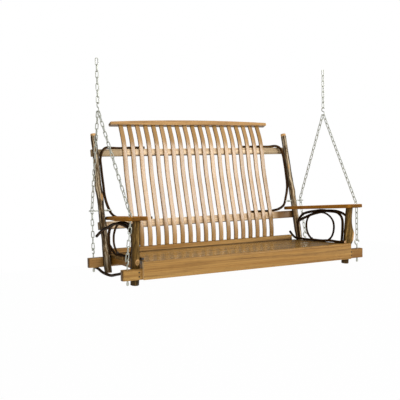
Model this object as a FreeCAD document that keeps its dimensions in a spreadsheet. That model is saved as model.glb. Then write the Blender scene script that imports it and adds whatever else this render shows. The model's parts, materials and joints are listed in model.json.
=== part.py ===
import FreeCAD, Part
import math
import os

# Porch swing seat: an oak bench with bent-stick sides, hung on chains.
# X runs along the bench, -Y is the sitter's front, +Z is up.
# The origin is where the bench hangs: midway between the two hanging links, in their upper bends.
# It is built from a base on the middle plane, at the slats' foot, level with the bearers' undersides,
# and every piece is placed under the origin at the end.

os.makedirs("parts", exist_ok=True)
doc = FreeCAD.newDocument("PorchSwing")
sheet = doc.addObject("Spreadsheet::Sheet", "Sizes")

SIZES = [
    ("seat_length", 1404, "seat boards; what stands beside the seat is placed from their ends"),
    ("bearer_overhang", 136, "bearers beyond the seat's ends"),
    ("bearer_length", "=seat_length + 2 * bearer_overhang", "both bearers, end to end"),
    ("bearer_height", 58, ""),
    ("bearer_thickness", 42, ""),
    ("bearer_rounding", 13, "rounded upright edges at the bearers' ends"),
    ("bearer_spacing", 568, "front bearer to rear bearer, middle to middle"),
    ("rear_bearer_place", -12, "middle of the rear bearer from the slats' foot"),
    ("apron_overhang", 19, "apron beyond the seat's ends"),
    ("apron_length", "=seat_length + 2 * apron_overhang", ""),
    ("apron_thickness", 20, ""),
    ("apron_height", 100, ""),
    ("apron_rounding", 9, "round-over along the apron's top"),
    ("seat_thickness", 18, ""),
    ("seat_board_count", 5, ""),
    ("seat_board_gap", 4, ""),
    ("seat_front_height", 99, "top of the seat at the apron"),
    ("seat_rear_height", 72, "top of the seat at the back"),
    ("rib_thickness", 24, "ribs that carry the seat boards"),
    ("rib_end_inset", 4, "outer ribs from the seat's ends"),
    ("rib_foot_height", 12, "lowest point of a rib above the bearers' undersides"),
    ("rib_scallop", 18, "rise of the scalloped lower edge"),
    ("foot_rail_inset", 18, "foot rail short of the seat's ends"),
    ("foot_rail_length", "=seat_length - 2 * foot_rail_inset", "rail that the slats stand on"),
    ("foot_rail_thickness", 34, ""),
    ("foot_rail_height", 46, ""),
    ("foot_rail_front", -15, "front face of the foot rail"),
    ("slat_count", 19, ""),
    ("slat_spacing", 58.3, "middle to middle"),
    ("slat_width", 30, ""),
    ("slat_thickness", 12, ""),
    ("slat_gap", 0.5, "slat to the rail behind it"),
    ("lower_rail_height", 251, "middle of the lower back rail"),
    ("lower_rail_set", 21.83, "lower rail's front face behind the rear posts' middle line"),
    ("lower_rail_lean", 11, "degrees"),
    ("lower_rail_width", 49, ""),
    ("upper_rail_height", 709, "middle of the upper back rail"),
    ("upper_rail_set", 11.94, "upper rail's front face behind the rear posts' middle line"),
    ("upper_rail_lean", 9, "degrees"),
    ("upper_rail_width", 46, ""),
    ("rail_overhang", 47, "back rails beyond the seat's ends"),
    ("rail_length", "=seat_length + 2 * rail_overhang", "both back rails"),
    ("rail_thickness", 20, ""),
    ("crest_length", 1198, ""),
    ("crest_thickness", 38, ""),
    ("crest_end_height", 21, ""),
    ("crest_middle_height", 34, ""),
    ("crest_corner", 6, "rounded corners of its ends"),
    ("crest_lean", 20, "degrees"),
    ("crest_place", 190, "middle of the crest's underside, back from the slats' foot"),
    ("crest_underside", 886, "height of the crest's underside"),
    ("rear_post_aside", 26, "rear post's middle beyond the seat's end"),
    ("rear_post_lean", 14.2, "degrees, backwards"),
    ("rear_post_place", -54, "rear post's middle at half the bearer's height"),
    ("rear_post_foot", -34, "height of the foot"),
    ("rear_post_top", 829, "height of the top"),
    ("rear_post_foot_size", 46, "diameter"),
    ("rear_post_top_size", 36, "diameter"),
    ("front_post_aside", 39, "front post's middle beyond the seat's end"),
    ("front_post_lean", 7.4, "degrees, forwards"),
    ("front_post_place", -540, "front post's middle at half the bearer's height"),
    ("front_post_foot", -37, ""),
    ("front_post_foot_size", 48, "diameter"),
    ("front_post_top_size", 45, "diameter"),
    ("arm_thickness", 22, ""),
    ("arm_slope", 3.8, "degrees, rising to the front"),
    ("arm_height", 309, "top of the arm above the slats' foot"),
    ("arm_front", -654, "front end of the arm"),
    ("arm_width", 122, "at the front end"),
    ("arm_inner_front", -12, "arm's inner edge beyond the seat's end, at the front end"),
    ("arm_inner_rear", -59, "the same at the rear end"),
    ("arm_post_clearance", 1.5, "arm to the rear post beside it"),
    ("arm_tongue_end", 33, "rear end of the arm"),
    ("arm_front_rounding", 52, "rounded front corners"),
    ("arm_rear_rounding", 15, "rounded rear corners"),
    ("arm_taper_start", -430, "where the outer edge starts to run in towards the back"),
    ("arm_taper_end", -40, "where the outer edge reaches the rear post"),
    ("arm_taper_rounding", 150, "where the outer edge turns"),
    ("arm_edge_rounding", 5, ""),
    ("arm_hole_size", 35, "hole for the front chain"),
    ("arm_hole_aside", 80, "hole beyond the seat's end"),
    ("arm_hole_place", -602, ""),
    ("loop_stick_size", 17, "corner loop, diameter"),
    ("loop_reach", 378, "inner ends of the corner loop from the middle plane"),
    ("arch_stick_size", 18, "arch, diameter"),
    ("arch_aside", 58, "beyond the seat's end"),
    ("hoop_stick_size", 17, "hoop between the posts, diameter"),
    ("ring_stick_size", 13, "ring under the arm, diameter"),
    ("ring_aside", -3, "beyond the seat's end"),
    ("left_ring_shift", 61, "left ring stands nearer the back than the right one"),
    ("hoop_inset", 15, "hoop inwards from the posts' middles"),
    ("branch_stick_size", 16, "stick along the seat's end, diameter"),
    ("branch_aside", -7, "beyond the seat's end"),
    ("brace_stick_size", 17, "stick under the seat's end, diameter"),
    ("left_branch_short", 46, "left stick along the seat's end is this much shorter than the right one"),
    ("brace_aside", 74, "beyond the seat's end"),
    ("stick_gap", 0.3, "stick to the piece that it is nailed against"),
    ("chain_wire", 5.4, "diameter"),
    ("chain_width", 21, "outer width of a link"),
    ("chain_pitch", 37, "wanted pitch of the links"),
    ("chain_gap", 0.3, "play between two links"),
    ("left_twist", 90, "degrees, more turn in the lower half of a left bridle chain, whose hook is edge-on"),
    ("top_link_count", 6, "moving links above the junction, on each side"),
    ("junction_aside", 116, "S-hook beyond the seat's end"),
    ("junction_place", -212, ""),
    ("junction_height", 971, ""),
    ("s_hook_wire", 6, "diameter"),
    ("s_hook_radius", 14, "each loop, to the middle of the wire"),
    ("hook_wire", 8, "pigtail hook, diameter"),
    ("hook_radius", 16, "pigtail hook's ring, to the middle of the wire"),
    ("hook_stem", 130, "ring's middle to the tip"),
    ("hook_aside", 100, "bearer hooks beyond the seat's end"),
    ("hook_rise", 42, "ring's middle above the bearer"),
    ("hook_bore_play", 0.4, "bore minus stem"),
    ("post_hook_aside", 88, "post hook's ring beyond the seat's end"),
    ("post_hook_rise", 37, "post hook above the arm's rear end"),
    ("post_hook_height", "=arm_height + post_hook_rise", ""),
    ("nut_width", 13, "across the flats"),
    ("nut_height", 13, ""),
    ("nut_neck_size", 11, "diameter"),
    ("nut_neck_length", 14, ""),
    ("screw_head_size", 9, "diameter"),
    ("screw_head_height", 4, ""),
    ("screw_shank_size", 4.5, "diameter"),
    ("screw_length", 55, ""),
    ("screw_play", 0.2, "round each screw"),
    ("screw_spread", 12, "each screw of a pair from the rail's middle"),
]

sheet.set("A1", "size")
sheet.set("B1", "value")
sheet.set("C1", "note")
for row, (alias, number, note) in enumerate(SIZES, start=2):
    sheet.set(f"A{row}", alias)
    sheet.set(f"B{row}", str(number))
    sheet.set(f"C{row}", note)
    sheet.setAlias(f"B{row}", alias)
doc.recompute()


def size(alias):
    return float(getattr(sheet, alias))


def aside(alias):
    """Distance from the middle plane of a place that is given from the seat's end."""
    return size("seat_length") / 2 + size(alias)


def vec(x, y, z):
    return FreeCAD.Vector(x, y, z)


def tilt(degrees):
    """Rotation about X that leans an upright piece backwards."""
    return FreeCAD.Rotation(vec(1, 0, 0), -degrees)


def bind(thing, **links):
    for prop, formula in links.items():
        thing.setExpression(prop.replace("_", "."), formula)
    return thing


def box(name, length, width, height, place, lean=0.0):
    """Box with bound sides, its placement point at the lower left front corner."""
    thing = doc.addObject("Part::Box", name)
    bind(thing, Length=length, Width=width, Height=height)
    thing.Placement = FreeCAD.Placement(place, tilt(lean))
    return thing


def feature(name, shape, placement=None):
    thing = doc.addObject("Part::Feature", name)
    thing.Shape = shape
    if placement is not None:
        thing.Placement = placement
    return thing


def cut(name, base, tools):
    """Base minus the tools, as one boolean object."""
    doc.recompute()
    if len(tools) > 1:
        group = doc.addObject("Part::Compound", name + "_tools")
        group.Links = tools
        tool = group
    else:
        tool = tools[0]
    thing = doc.addObject("Part::Cut", name)
    thing.Base = base
    thing.Tool = tool
    return thing


def rounded_box(name, length, width, height, place, radius, edges):
    base = box(name + "_blank", length, width, height, place)
    doc.recompute()
    thing = doc.addObject("Part::Fillet", name)
    thing.Base = base
    thing.Edges = [(number, radius, radius) for number in edges]
    return thing


def bent_path(points):
    """Straight runs joined by tangent arcs as large as the runs allow."""
    edges = []
    start = points[0]
    for before, corner, after in zip(points, points[1:], points[2:]):
        first = (before - corner).normalize()
        second = (after - corner).normalize()
        reach = 0.45 * min((before - corner).Length, (after - corner).Length)
        half_turn = (math.pi - first.getAngle(second)) / 2
        enter = corner + first * reach
        leave = corner + second * reach
        radius = reach / math.tan(half_turn)
        inward = (first + second).normalize()
        middle = corner + inward * (radius / math.cos(half_turn) - radius)
        edges.append(Part.LineSegment(start, enter).toShape())
        edges.append(Part.Arc(enter, middle, leave).toShape())
        start = leave
    edges.append(Part.LineSegment(start, points[-1]).toShape())
    return Part.Wire(edges)


def stick(points, diameter):
    """Round stick bent along the points."""
    path = bent_path(points)
    heading = (points[1] - points[0]).normalize()
    ring = Part.Wire(Part.makeCircle(diameter / 2, points[0], heading))
    return path.makePipeShell([ring], True, False)


def mirrored(points, side):
    return [vec(side * p.x, p.y, p.z) for p in points]


def merged(shapes):
    return Part.makeCompound(shapes)


parts = {}


def keep(name, thing):
    thing.Label = name
    parts[name] = thing


SIDES = (("left", -1), ("right", 1))

# Bearers: two full-width beams that carry the seat and hang from the chains.
bearer_half = size("bearer_thickness") / 2
rear_bearer_y = size("rear_bearer_place")
front_bearer_y = rear_bearer_y - size("bearer_spacing")
bearer_top = size("bearer_height")
half_bearer = size("bearer_length") / 2
UPRIGHT_EDGES = (1, 3, 5, 7)
bearer_blanks = {}
for name, middle in (("front", front_bearer_y), ("rear", rear_bearer_y)):
    bearer_blanks[name] = rounded_box(
        name + "_bearer_body", "Sizes.bearer_length", "Sizes.bearer_thickness", "Sizes.bearer_height",
        vec(-half_bearer, middle - bearer_half, 0), size("bearer_rounding"), UPRIGHT_EDGES)

# Posts: hickory sticks, the rear ones leaning back and the front ones forward.
half_height = bearer_top / 2
rear_slope = math.tan(math.radians(size("rear_post_lean")))
front_slope = -math.tan(math.radians(size("front_post_lean")))


def rear_post_y(z):
    return size("rear_post_place") + (z - half_height) * rear_slope


def front_post_y(z):
    return size("front_post_place") + (z - half_height) * front_slope


def arm_top(y):
    return size("arm_height") - y * math.tan(math.radians(size("arm_slope")))


def rear_post_radius(z):
    share = (z - size("rear_post_foot")) / (size("rear_post_top") - size("rear_post_foot"))
    return ((1 - share) * size("rear_post_foot_size") + share * size("rear_post_top_size")) / 2


rear_post_rise = size("rear_post_top") - size("rear_post_foot")
rear_post_length = rear_post_rise / math.cos(math.radians(size("rear_post_lean")))
arm_under = arm_top(size("front_post_place")) - size("arm_thickness")
front_post_length = arm_under + size("arm_thickness") - size("front_post_foot")
post_blanks = {}
for side_name, side in SIDES:
    rear = doc.addObject("Part::Cone", side_name + "_rear_post_stick")
    bind(rear, Radius1="Sizes.rear_post_foot_size / 2", Radius2="Sizes.rear_post_top_size / 2")
    rear.Height = rear_post_length
    foot = size("rear_post_foot")
    rear.Placement = FreeCAD.Placement(
        vec(side * aside("rear_post_aside"), rear_post_y(foot), foot), tilt(size("rear_post_lean")))
    front = doc.addObject("Part::Cone", side_name + "_front_post_stick")
    bind(front, Radius1="Sizes.front_post_foot_size / 2", Radius2="Sizes.front_post_top_size / 2")
    front.Height = front_post_length
    foot = size("front_post_foot")
    front.Placement = FreeCAD.Placement(
        vec(side * aside("front_post_aside"), front_post_y(foot), foot), tilt(-size("front_post_lean")))
    post_blanks[side_name] = (rear, front)

# Back rails: straight boards screwed to the rear of the rear posts.
rail_thickness = size("rail_thickness")


def rail_place(rail_name):
    """Front face of a back rail at its middle."""
    return rear_post_y(size(rail_name + "_height")) + size(rail_name + "_set")


def rail(name, place, height, width_name, lean):
    turn = tilt(lean)
    corner = vec(-size("rail_length") / 2, place, height) + turn.multVec(vec(0, 0, -size(width_name) / 2))
    return box(name, "Sizes.rail_length", "Sizes.rail_thickness", "Sizes." + width_name, corner, lean)


lower_rail = rail("lower_rail_board", rail_place("lower_rail"), size("lower_rail_height"),
                  "lower_rail_width", size("lower_rail_lean"))
upper_rail = rail("upper_rail_board", rail_place("upper_rail"), size("upper_rail_height"),
                  "upper_rail_width", size("upper_rail_lean"))


def rail_front(rail_name, z):
    slope = math.tan(math.radians(size(rail_name + "_lean")))
    return rail_place(rail_name) + (z - size(rail_name + "_height")) * slope


def rail_rest(rail_name, diameter):
    """Middle of a stick that lies on the rail's top edge: its y and z."""
    turn = tilt(size(rail_name + "_lean"))
    up = size(rail_name + "_width") / 2 + diameter / 2 + size("stick_gap")
    spot = turn.multVec(vec(0, rail_thickness * 0.6, up))
    return rail_place(rail_name) + spot.y, size(rail_name + "_height") + spot.z


# Screws: pairs through the bearers and the back rails into the posts.
screw_holes = {"front_bearer": [], "rear_bearer": [], "lower_rail": [], "upper_rail": [],
               "rear_post": {"left": [], "right": []}, "front_post": {"left": [], "right": []}}
screw_shapes = []


def screw_shape(play):
    """Countersunk wood screw whose head lies at the origin and whose tip points down."""
    head = size("screw_head_size") / 2 + play
    shank = size("screw_shank_size") / 2 + play
    depth = size("screw_head_height")
    length = size("screw_length") + play
    cone = Part.makeCone(shank, head, depth, vec(0, 0, -depth))
    rod = Part.makeCylinder(shank, length - depth, vec(0, 0, -length))
    shape = cone.fuse(rod).removeSplitter()
    if play > 0:
        shape = shape.fuse(Part.makeCylinder(head, play, vec(0, 0, 0))).removeSplitter()
    return shape


real_screw = screw_shape(0.0)
screw_room = screw_shape(size("screw_play"))


def add_screw(spot, way, owners):
    turn = FreeCAD.Rotation(vec(0, 0, -1), way)
    for shape, target in ((real_screw, None), (screw_room, owners)):
        placed = shape.copy()
        placed.Placement = FreeCAD.Placement(spot, turn)
        if target is None:
            screw_shapes.append(placed)
        else:
            for owner in target:
                owner.append(placed)


for side_name, side in SIDES:
    rear_x = side * aside("rear_post_aside")
    front_x = side * aside("front_post_aside")
    for step in (-1, 1):
        offset = step * size("screw_spread")
        add_screw(vec(front_x, front_bearer_y - bearer_half, half_height + offset), vec(0, 1, 0),
                  (screw_holes["front_bearer"], screw_holes["front_post"][side_name]))
        add_screw(vec(rear_x, rear_bearer_y + bearer_half, half_height + offset), vec(0, -1, 0),
                  (screw_holes["rear_bearer"], screw_holes["rear_post"][side_name]))
        for rail_name in ("lower_rail", "upper_rail"):
            turn = tilt(size(rail_name + "_lean"))
            spot = vec(rear_x, rail_place(rail_name), size(rail_name + "_height"))
            spot = spot + turn.multVec(vec(0, rail_thickness, offset))
            add_screw(spot, turn.multVec(vec(0, -1, 0)),
                      (screw_holes[rail_name], screw_holes["rear_post"][side_name]))

# Pigtail hooks: four stand in the bearers and two lie through the rear posts.
hook_ring = doc.addObject("Part::Torus", "hook_ring")
bind(hook_ring, Radius1="Sizes.hook_radius", Radius2="Sizes.hook_wire / 2")
RING_SWEEP = 305
hook_ring.Angle3 = RING_SWEEP
hook_ring.Placement = FreeCAD.Placement(
    vec(0, 0, 0), FreeCAD.Rotation(vec(1, 0, 0), vec(0, 0, 1), vec(0, -1, 0), "XYZ"))
hook_rod = doc.addObject("Part::Cylinder", "hook_rod")
bind(hook_rod, Radius="Sizes.hook_wire / 2", Height="Sizes.hook_stem - Sizes.hook_radius")
hook_rod.Placement = FreeCAD.Placement(vec(0, 0, -size("hook_stem")), FreeCAD.Rotation())
hook_whole = doc.addObject("Part::Fuse", "hook_whole")
hook_whole.Base = hook_ring
hook_whole.Tool = hook_rod
doc.recompute()

hook_bore = (size("hook_wire") + size("hook_bore_play")) / 2
ring_height = bearer_top + size("hook_rise")
post_hook_y = rear_post_y(size("post_hook_height"))
hook_places = []
for side_name, side in SIDES:
    hook_turn = FreeCAD.Rotation(vec(0, 0, 1), size("left_twist") if side < 0 else 0)
    for middle in (front_bearer_y, rear_bearer_y):
        hook_places.append(("bearer", side_name, FreeCAD.Placement(
            vec(side * aside("hook_aside"), middle, ring_height), hook_turn)))
    sideways = FreeCAD.Rotation(vec(0, side, 0), vec(0, 0, 1), vec(side, 0, 0), "XYZ")
    hook_places.append(("post", side_name, FreeCAD.Placement(
        vec(side * aside("post_hook_aside"), post_hook_y, size("post_hook_height")), sideways)))


def bore_shape(place):
    rod = Part.makeCylinder(hook_bore, size("hook_stem"), vec(0, 0, -size("hook_stem")))
    rod.Placement = place
    return rod


hook_shapes = []
nut_shapes = []
nut_blank = Part.Face(Part.makePolygon([
    vec(size("nut_width") / math.sqrt(3) * math.cos(math.radians(60 * k)),
        size("nut_width") / math.sqrt(3) * math.sin(math.radians(60 * k)), 0) for k in range(7)]))
nut_blank = nut_blank.extrude(vec(0, 0, -size("nut_height")))
nut_blank.translate(vec(0, 0, -size("nut_neck_length")))
neck_length = size("nut_neck_length")
nut_neck = Part.makeCylinder(size("nut_neck_size") / 2, neck_length, vec(0, 0, -neck_length))
nut_through = size("nut_neck_length") + size("nut_height")
nut_bore = Part.makeCylinder(hook_bore, nut_through, vec(0, 0, -nut_through))
real_nut = nut_blank.fuse(nut_neck).cut(nut_bore).removeSplitter()
bores = {"front": [], "rear": [], "left": [], "right": []}
for kind, side_name, place in hook_places:
    shape = hook_whole.Shape.copy()
    shape.Placement = place
    hook_shapes.append(shape)
    nut = real_nut.copy()
    if kind == "bearer":
        down = ring_height
        bores["front" if place.Base.y == front_bearer_y else "rear"].append(bore_shape(place))
    else:
        post_inside = aside("rear_post_aside") - rear_post_radius(size("post_hook_height"))
        down = aside("post_hook_aside") - post_inside + size("stick_gap")
        bores[side_name].append(bore_shape(place))
    nut.Placement = place.multiply(FreeCAD.Placement(vec(0, 0, -down), FreeCAD.Rotation()))
    nut_shapes.append(nut)
keep("pigtail_hooks", feature("pigtail_hooks", merged(hook_shapes)))
keep("hook_nuts", feature("hook_nuts", merged(nut_shapes)))
keep("wood_screws", feature("wood_screws", merged(screw_shapes)))

for name in ("front", "rear"):
    holes = feature(name + "_bearer_holes", merged(bores[name] + screw_holes[name + "_bearer"]))
    keep(name + "_bearer", cut(name + "_bearer", bearer_blanks[name], [holes]))
for name, board in (("lower", lower_rail), ("upper", upper_rail)):
    holes = feature(name + "_rail_holes", merged(screw_holes[name + "_rail"]))
    keep(name + "_back_rail", cut(name + "_back_rail", board, [holes]))

# Arms: boards that narrow to pass inside the rear posts, with a hole for the front chain.
tongue_edge = aside("rear_post_aside") - rear_post_radius(size("arm_height")) - size("arm_post_clearance")
outer_front = aside("arm_inner_front") + size("arm_width")


def rounded_outline(corners):
    """Closed wire at height zero through corners (x, y, radius), each rounded by a tangent arc."""
    edges = []
    spots = [vec(x, y, 0) for x, y, radius in corners]
    ends = []
    for index, (x, y, radius) in enumerate(corners):
        spot = spots[index]
        first = (spots[index - 1] - spot).normalize()
        second = (spots[(index + 1) % len(spots)] - spot).normalize()
        half_angle = first.getAngle(second) / 2
        reach = radius / math.tan(half_angle)
        middle = spot + (first + second).normalize() * (radius / math.sin(half_angle) - radius)
        enter = spot + first * reach
        leave = spot + second * reach
        edges.append(Part.Arc(enter, middle, leave).toShape())
        ends.append((enter, leave))
    for index, (enter, leave) in enumerate(ends):
        edges.append(Part.LineSegment(ends[index - 1][1], enter).toShape())
    return Part.Wire(Part.__sortEdges__(edges))


def arm_outline(side):
    """Plan of the arm: wide at the front, narrow where it passes the rear post."""
    front = size("arm_front")
    end = size("arm_tongue_end")
    front_round = size("arm_front_rounding")
    rear_round = size("arm_rear_rounding")
    taper_round = size("arm_taper_rounding")
    corners = [
        (aside("arm_inner_rear"), end, rear_round),
        (aside("arm_inner_front"), front, front_round),
        (outer_front, front, front_round),
        (outer_front, size("arm_taper_start"), taper_round),
        (tongue_edge, size("arm_taper_end"), taper_round),
        (tongue_edge, end, rear_round),
    ]
    return rounded_outline([(side * x, y, radius) for x, y, radius in corners])


arm_turn = tilt(size("arm_slope"))
arm_place = FreeCAD.Placement(vec(0, 0, size("arm_height")), arm_turn)
arm_shapes = {}
for side_name, side in SIDES:
    slab = Part.Face(arm_outline(side)).extrude(vec(0, 0, -size("arm_thickness")))
    rims = [e for e in slab.Edges if abs(e.BoundBox.ZMax - e.BoundBox.ZMin) < 0.001]
    slab = slab.makeFillet(size("arm_edge_rounding"), rims)
    blank = feature(side_name + "_arm_blank", slab, arm_place)
    drill = doc.addObject("Part::Cylinder", side_name + "_arm_drill")
    bind(drill, Radius="Sizes.arm_hole_size / 2", Height="3 * Sizes.arm_thickness")
    hole_spot = vec(side * aside("arm_hole_aside"), size("arm_hole_place"), -2 * size("arm_thickness"))
    drill.Placement = arm_place.multiply(FreeCAD.Placement(hole_spot, FreeCAD.Rotation()))
    arm = cut(side_name + "_arm", blank, [drill])
    keep(side_name + "_arm", arm)
    arm_shapes[side_name] = arm

# Posts cut to their seats: flats for the bearers and rails, bores for hooks and screws.
arm_cutter = Part.makeBox(size("bearer_length"), 3 * size("arm_width"), 4 * size("arm_thickness"),
                          vec(-half_bearer, size("arm_front"), -size("arm_thickness")))
arm_cutter.Placement = arm_place
above_arm = feature("above_arms", arm_cutter)
for side_name, side in SIDES:
    rear, front = post_blanks[side_name]
    rear_holes = merged(bores[side_name] + screw_holes["rear_post"][side_name])
    holes = feature(side_name + "_rear_post_holes", rear_holes)
    keep(side_name + "_rear_post",
         cut(side_name + "_rear_post", rear, [bearer_blanks["rear"], lower_rail, upper_rail, holes]))
    holes = feature(side_name + "_front_post_holes", merged(screw_holes["front_post"][side_name]))
    keep(side_name + "_front_post",
         cut(side_name + "_front_post", front, [bearer_blanks["front"], above_arm, holes]))

# Apron: the wide board along the seat's front edge.
apron_back = front_bearer_y - bearer_half
apron = rounded_box("apron", "Sizes.apron_length", "Sizes.apron_thickness", "Sizes.apron_height",
                    vec(-size("apron_length") / 2, apron_back - size("apron_thickness"), 0),
                    size("apron_rounding"), (10,))
keep("apron", apron)

# Seat: boards laid lengthwise on three ribs, sloping down to the back.
seat_rear = size("foot_rail_front")
seat_run = seat_rear - apron_back
seat_drop = size("seat_front_height") - size("seat_rear_height")
seat_slope = math.degrees(math.atan(seat_drop / seat_run))
seat_span = math.hypot(seat_run, seat_drop)
board_count = int(size("seat_board_count"))
board_width = (seat_span - size("seat_board_gap") * board_count) / board_count
seat_corner = vec(-size("seat_length") / 2, seat_rear, size("seat_rear_height"))
seat_place = FreeCAD.Placement(seat_corner, tilt(seat_slope))
for number in range(board_count):
    board = doc.addObject("Part::Box", f"seat_board_{number + 1}")
    bind(board, Length="Sizes.seat_length", Height="Sizes.seat_thickness")
    board.Width = board_width
    back_off = (board_count - number) * board_width + (board_count - number - 0.5) * size("seat_board_gap")
    board.Placement = seat_place.multiply(
        FreeCAD.Placement(vec(0, -back_off, -size("seat_thickness")), FreeCAD.Rotation()))
    if number == board_count - 1:
        board.Label = "last_board_blank"
        board = cut("last_board", board, [bearer_blanks["rear"]])
    keep(f"seat_board_{number + 1}", board)


def seat_top(y):
    return size("seat_rear_height") + (seat_rear - y) * seat_drop / seat_run


def seat_under(y):
    return seat_top(y) - size("seat_thickness") / math.cos(math.radians(seat_slope))


rib_front = front_bearer_y - bearer_half
rib_step = front_bearer_y + bearer_half
rib_rear = rear_bearer_y - bearer_half
rib_foot = size("rib_foot_height")
rib_rise = rib_foot + size("rib_scallop")
rib_reach = (rib_rear - rib_step) / 4
lower_edge = [(rib_step, rib_foot), (rib_step + rib_reach / 2, rib_foot + size("rib_scallop") / 4),
              (rib_step + rib_reach, rib_rise), (rib_rear - rib_reach, rib_rise),
              (rib_rear - rib_reach / 2, rib_foot + size("rib_scallop") / 4), (rib_rear, rib_foot)]


def rib_shape(x):
    path = bent_path([vec(x, y, z) for y, z in lower_edge])
    corners = [(rib_rear, rib_foot), (rib_rear, seat_under(rib_rear)), (rib_front, seat_under(rib_front)),
               (rib_front, bearer_top), (rib_step, bearer_top), (rib_step, rib_foot)]
    spots = [vec(x, y, z) for y, z in corners]
    straights = [Part.LineSegment(a, b).toShape() for a, b in zip(spots, spots[1:])]
    face = Part.Face(Part.Wire(Part.__sortEdges__(path.Edges + straights)))
    return face.extrude(vec(size("rib_thickness"), 0, 0))


rib_outer = size("seat_length") / 2 - size("rib_end_inset")
for name, x in (("left_seat_rib", -rib_outer), ("middle_seat_rib", -size("rib_thickness") / 2),
                ("right_seat_rib", rib_outer - size("rib_thickness"))):
    keep(name, feature(name, rib_shape(x)))

# Foot rail: stands on the rear bearer and carries the slats' feet.
foot_rail_corner = vec(-size("foot_rail_length") / 2, size("foot_rail_front"), bearer_top)
foot_rail = box("foot_rail", "Sizes.foot_rail_length", "Sizes.foot_rail_thickness",
                "Sizes.foot_rail_height", foot_rail_corner)
keep("foot_rail", foot_rail)

# Crest rail: arched top, straight underside, blunt ends with rounded corners.
crest_half = size("crest_length") / 2
crest_back = size("crest_thickness")
end_height = size("crest_end_height")
corner = size("crest_corner")
corner_cut = corner * (1 - math.sqrt(0.5))
crest_edges = [
    Part.LineSegment(vec(-crest_half + corner, 0, 0), vec(crest_half - corner, 0, 0)).toShape(),
    Part.Arc(vec(crest_half - corner, 0, end_height), vec(0, 0, size("crest_middle_height")),
             vec(-crest_half + corner, 0, end_height)).toShape(),
]
for side in (-1, 1):
    end_x = side * crest_half
    inner_x = side * (crest_half - corner)
    cut_x = side * (crest_half - corner_cut)
    crest_edges += [
        Part.Arc(vec(inner_x, 0, 0), vec(cut_x, 0, corner_cut), vec(end_x, 0, corner)).toShape(),
        Part.LineSegment(vec(end_x, 0, corner), vec(end_x, 0, end_height - corner)).toShape(),
        Part.Arc(vec(end_x, 0, end_height - corner), vec(cut_x, 0, end_height - corner_cut),
                 vec(inner_x, 0, end_height)).toShape(),
    ]
crest_solid = Part.Face(Part.Wire(Part.__sortEdges__(crest_edges))).extrude(vec(0, crest_back, 0))
crest_turn = tilt(size("crest_lean"))
crest_spot = vec(0, size("crest_place"), size("crest_underside"))
crest_spot = crest_spot + crest_turn.multVec(vec(0, -crest_back / 2, 0))
keep("crest_rail", feature("crest_rail", crest_solid, FreeCAD.Placement(crest_spot, crest_turn)))

# Slats: bent strips that pass in front of both back rails.
foot_top = bearer_top + size("foot_rail_height")
half_slat = size("slat_thickness") / 2
slat_back = half_slat + size("slat_gap")


def beside(rail_name, rise):
    """Middle of a slat where it lies against a rail, at a height above the rail's middle."""
    z = size(rail_name + "_height") + rise
    lean = math.radians(size(rail_name + "_lean"))
    return rail_front(rail_name, z) - slat_back / math.cos(lean), z


PAST_EDGE = 9
lower_half = size("lower_rail_width") / 2 + PAST_EDGE
upper_half = size("upper_rail_width") / 2 + PAST_EDGE
crest_y = size("crest_place")
crest_z = size("crest_underside")
low_y, low_z = beside("lower_rail", lower_half)
high_y, high_z = beside("upper_rail", -upper_half)
peak_y, peak_z = beside("upper_rail", upper_half)
foot_y = size("foot_rail_front") + size("foot_rail_thickness") * 0.66


def between(share, first, last):
    return first + share * (last - first)


slat_middle = [
    (foot_y, foot_top),
    (foot_y - 3.5, foot_top + 46),
    beside("lower_rail", -lower_half),
    (low_y, low_z),
    (between(0.24, low_y, high_y) + 1, between(0.2, low_z, high_z)),
    (between(0.46, low_y, high_y), between(0.4, low_z, high_z)),
    (between(0.7, low_y, high_y), between(0.6, low_z, high_z)),
    (between(0.885, low_y, high_y), between(0.8, low_z, high_z)),
    (high_y, high_z),
    (peak_y, peak_z),
    (between(0.22, peak_y, crest_y), between(0.32, peak_z, crest_z)),
    (between(0.6, peak_y, crest_y), between(0.67, peak_z, crest_z)),
    (crest_y, crest_z),
]


def slat_side(shift):
    """The slat's face at a distance from its middle line, as lines and arcs."""
    middles = [vec(0, y, z) for y, z in slat_middle]
    spots = []
    for index, spot in enumerate(middles):
        back = middles[max(index - 1, 0)]
        ahead = middles[min(index + 1, len(middles) - 1)]
        heading = (ahead - back).normalize()
        normal = vec(0, heading.z, -heading.y)
        spots.append(spot + normal * shift)
    spots[0] = vec(0, middles[0].y + shift, foot_top)
    lean = math.radians(size("crest_lean"))
    spots[-1] = vec(0, crest_y + shift * math.cos(lean), crest_z - shift * math.sin(lean))
    return bent_path(spots), spots


front_side, front_spots = slat_side(-half_slat)
rear_side, rear_spots = slat_side(half_slat)
slat_edges = front_side.Edges + rear_side.Edges + [
    Part.LineSegment(front_spots[0], rear_spots[0]).toShape(),
    Part.LineSegment(front_spots[-1], rear_spots[-1]).toShape()]
slat_face = feature("slat_profile", Part.Face(Part.Wire(Part.__sortEdges__(slat_edges))))
slat_count = int(size("slat_count"))
for number in range(slat_count):
    slat = doc.addObject("Part::Extrusion", f"slat_{number + 1:02d}")
    slat.Base = slat_face
    slat.DirMode = "Custom"
    slat.Dir = vec(1, 0, 0)
    slat.Solid = True
    bind(slat, LengthFwd="Sizes.slat_width")
    middle = (number - (slat_count - 1) / 2) * size("slat_spacing")
    slat.Placement = FreeCAD.Placement(vec(middle - size("slat_width") / 2, 0, 0), FreeCAD.Rotation())
    keep(f"slat_{number + 1:02d}", slat)

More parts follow.
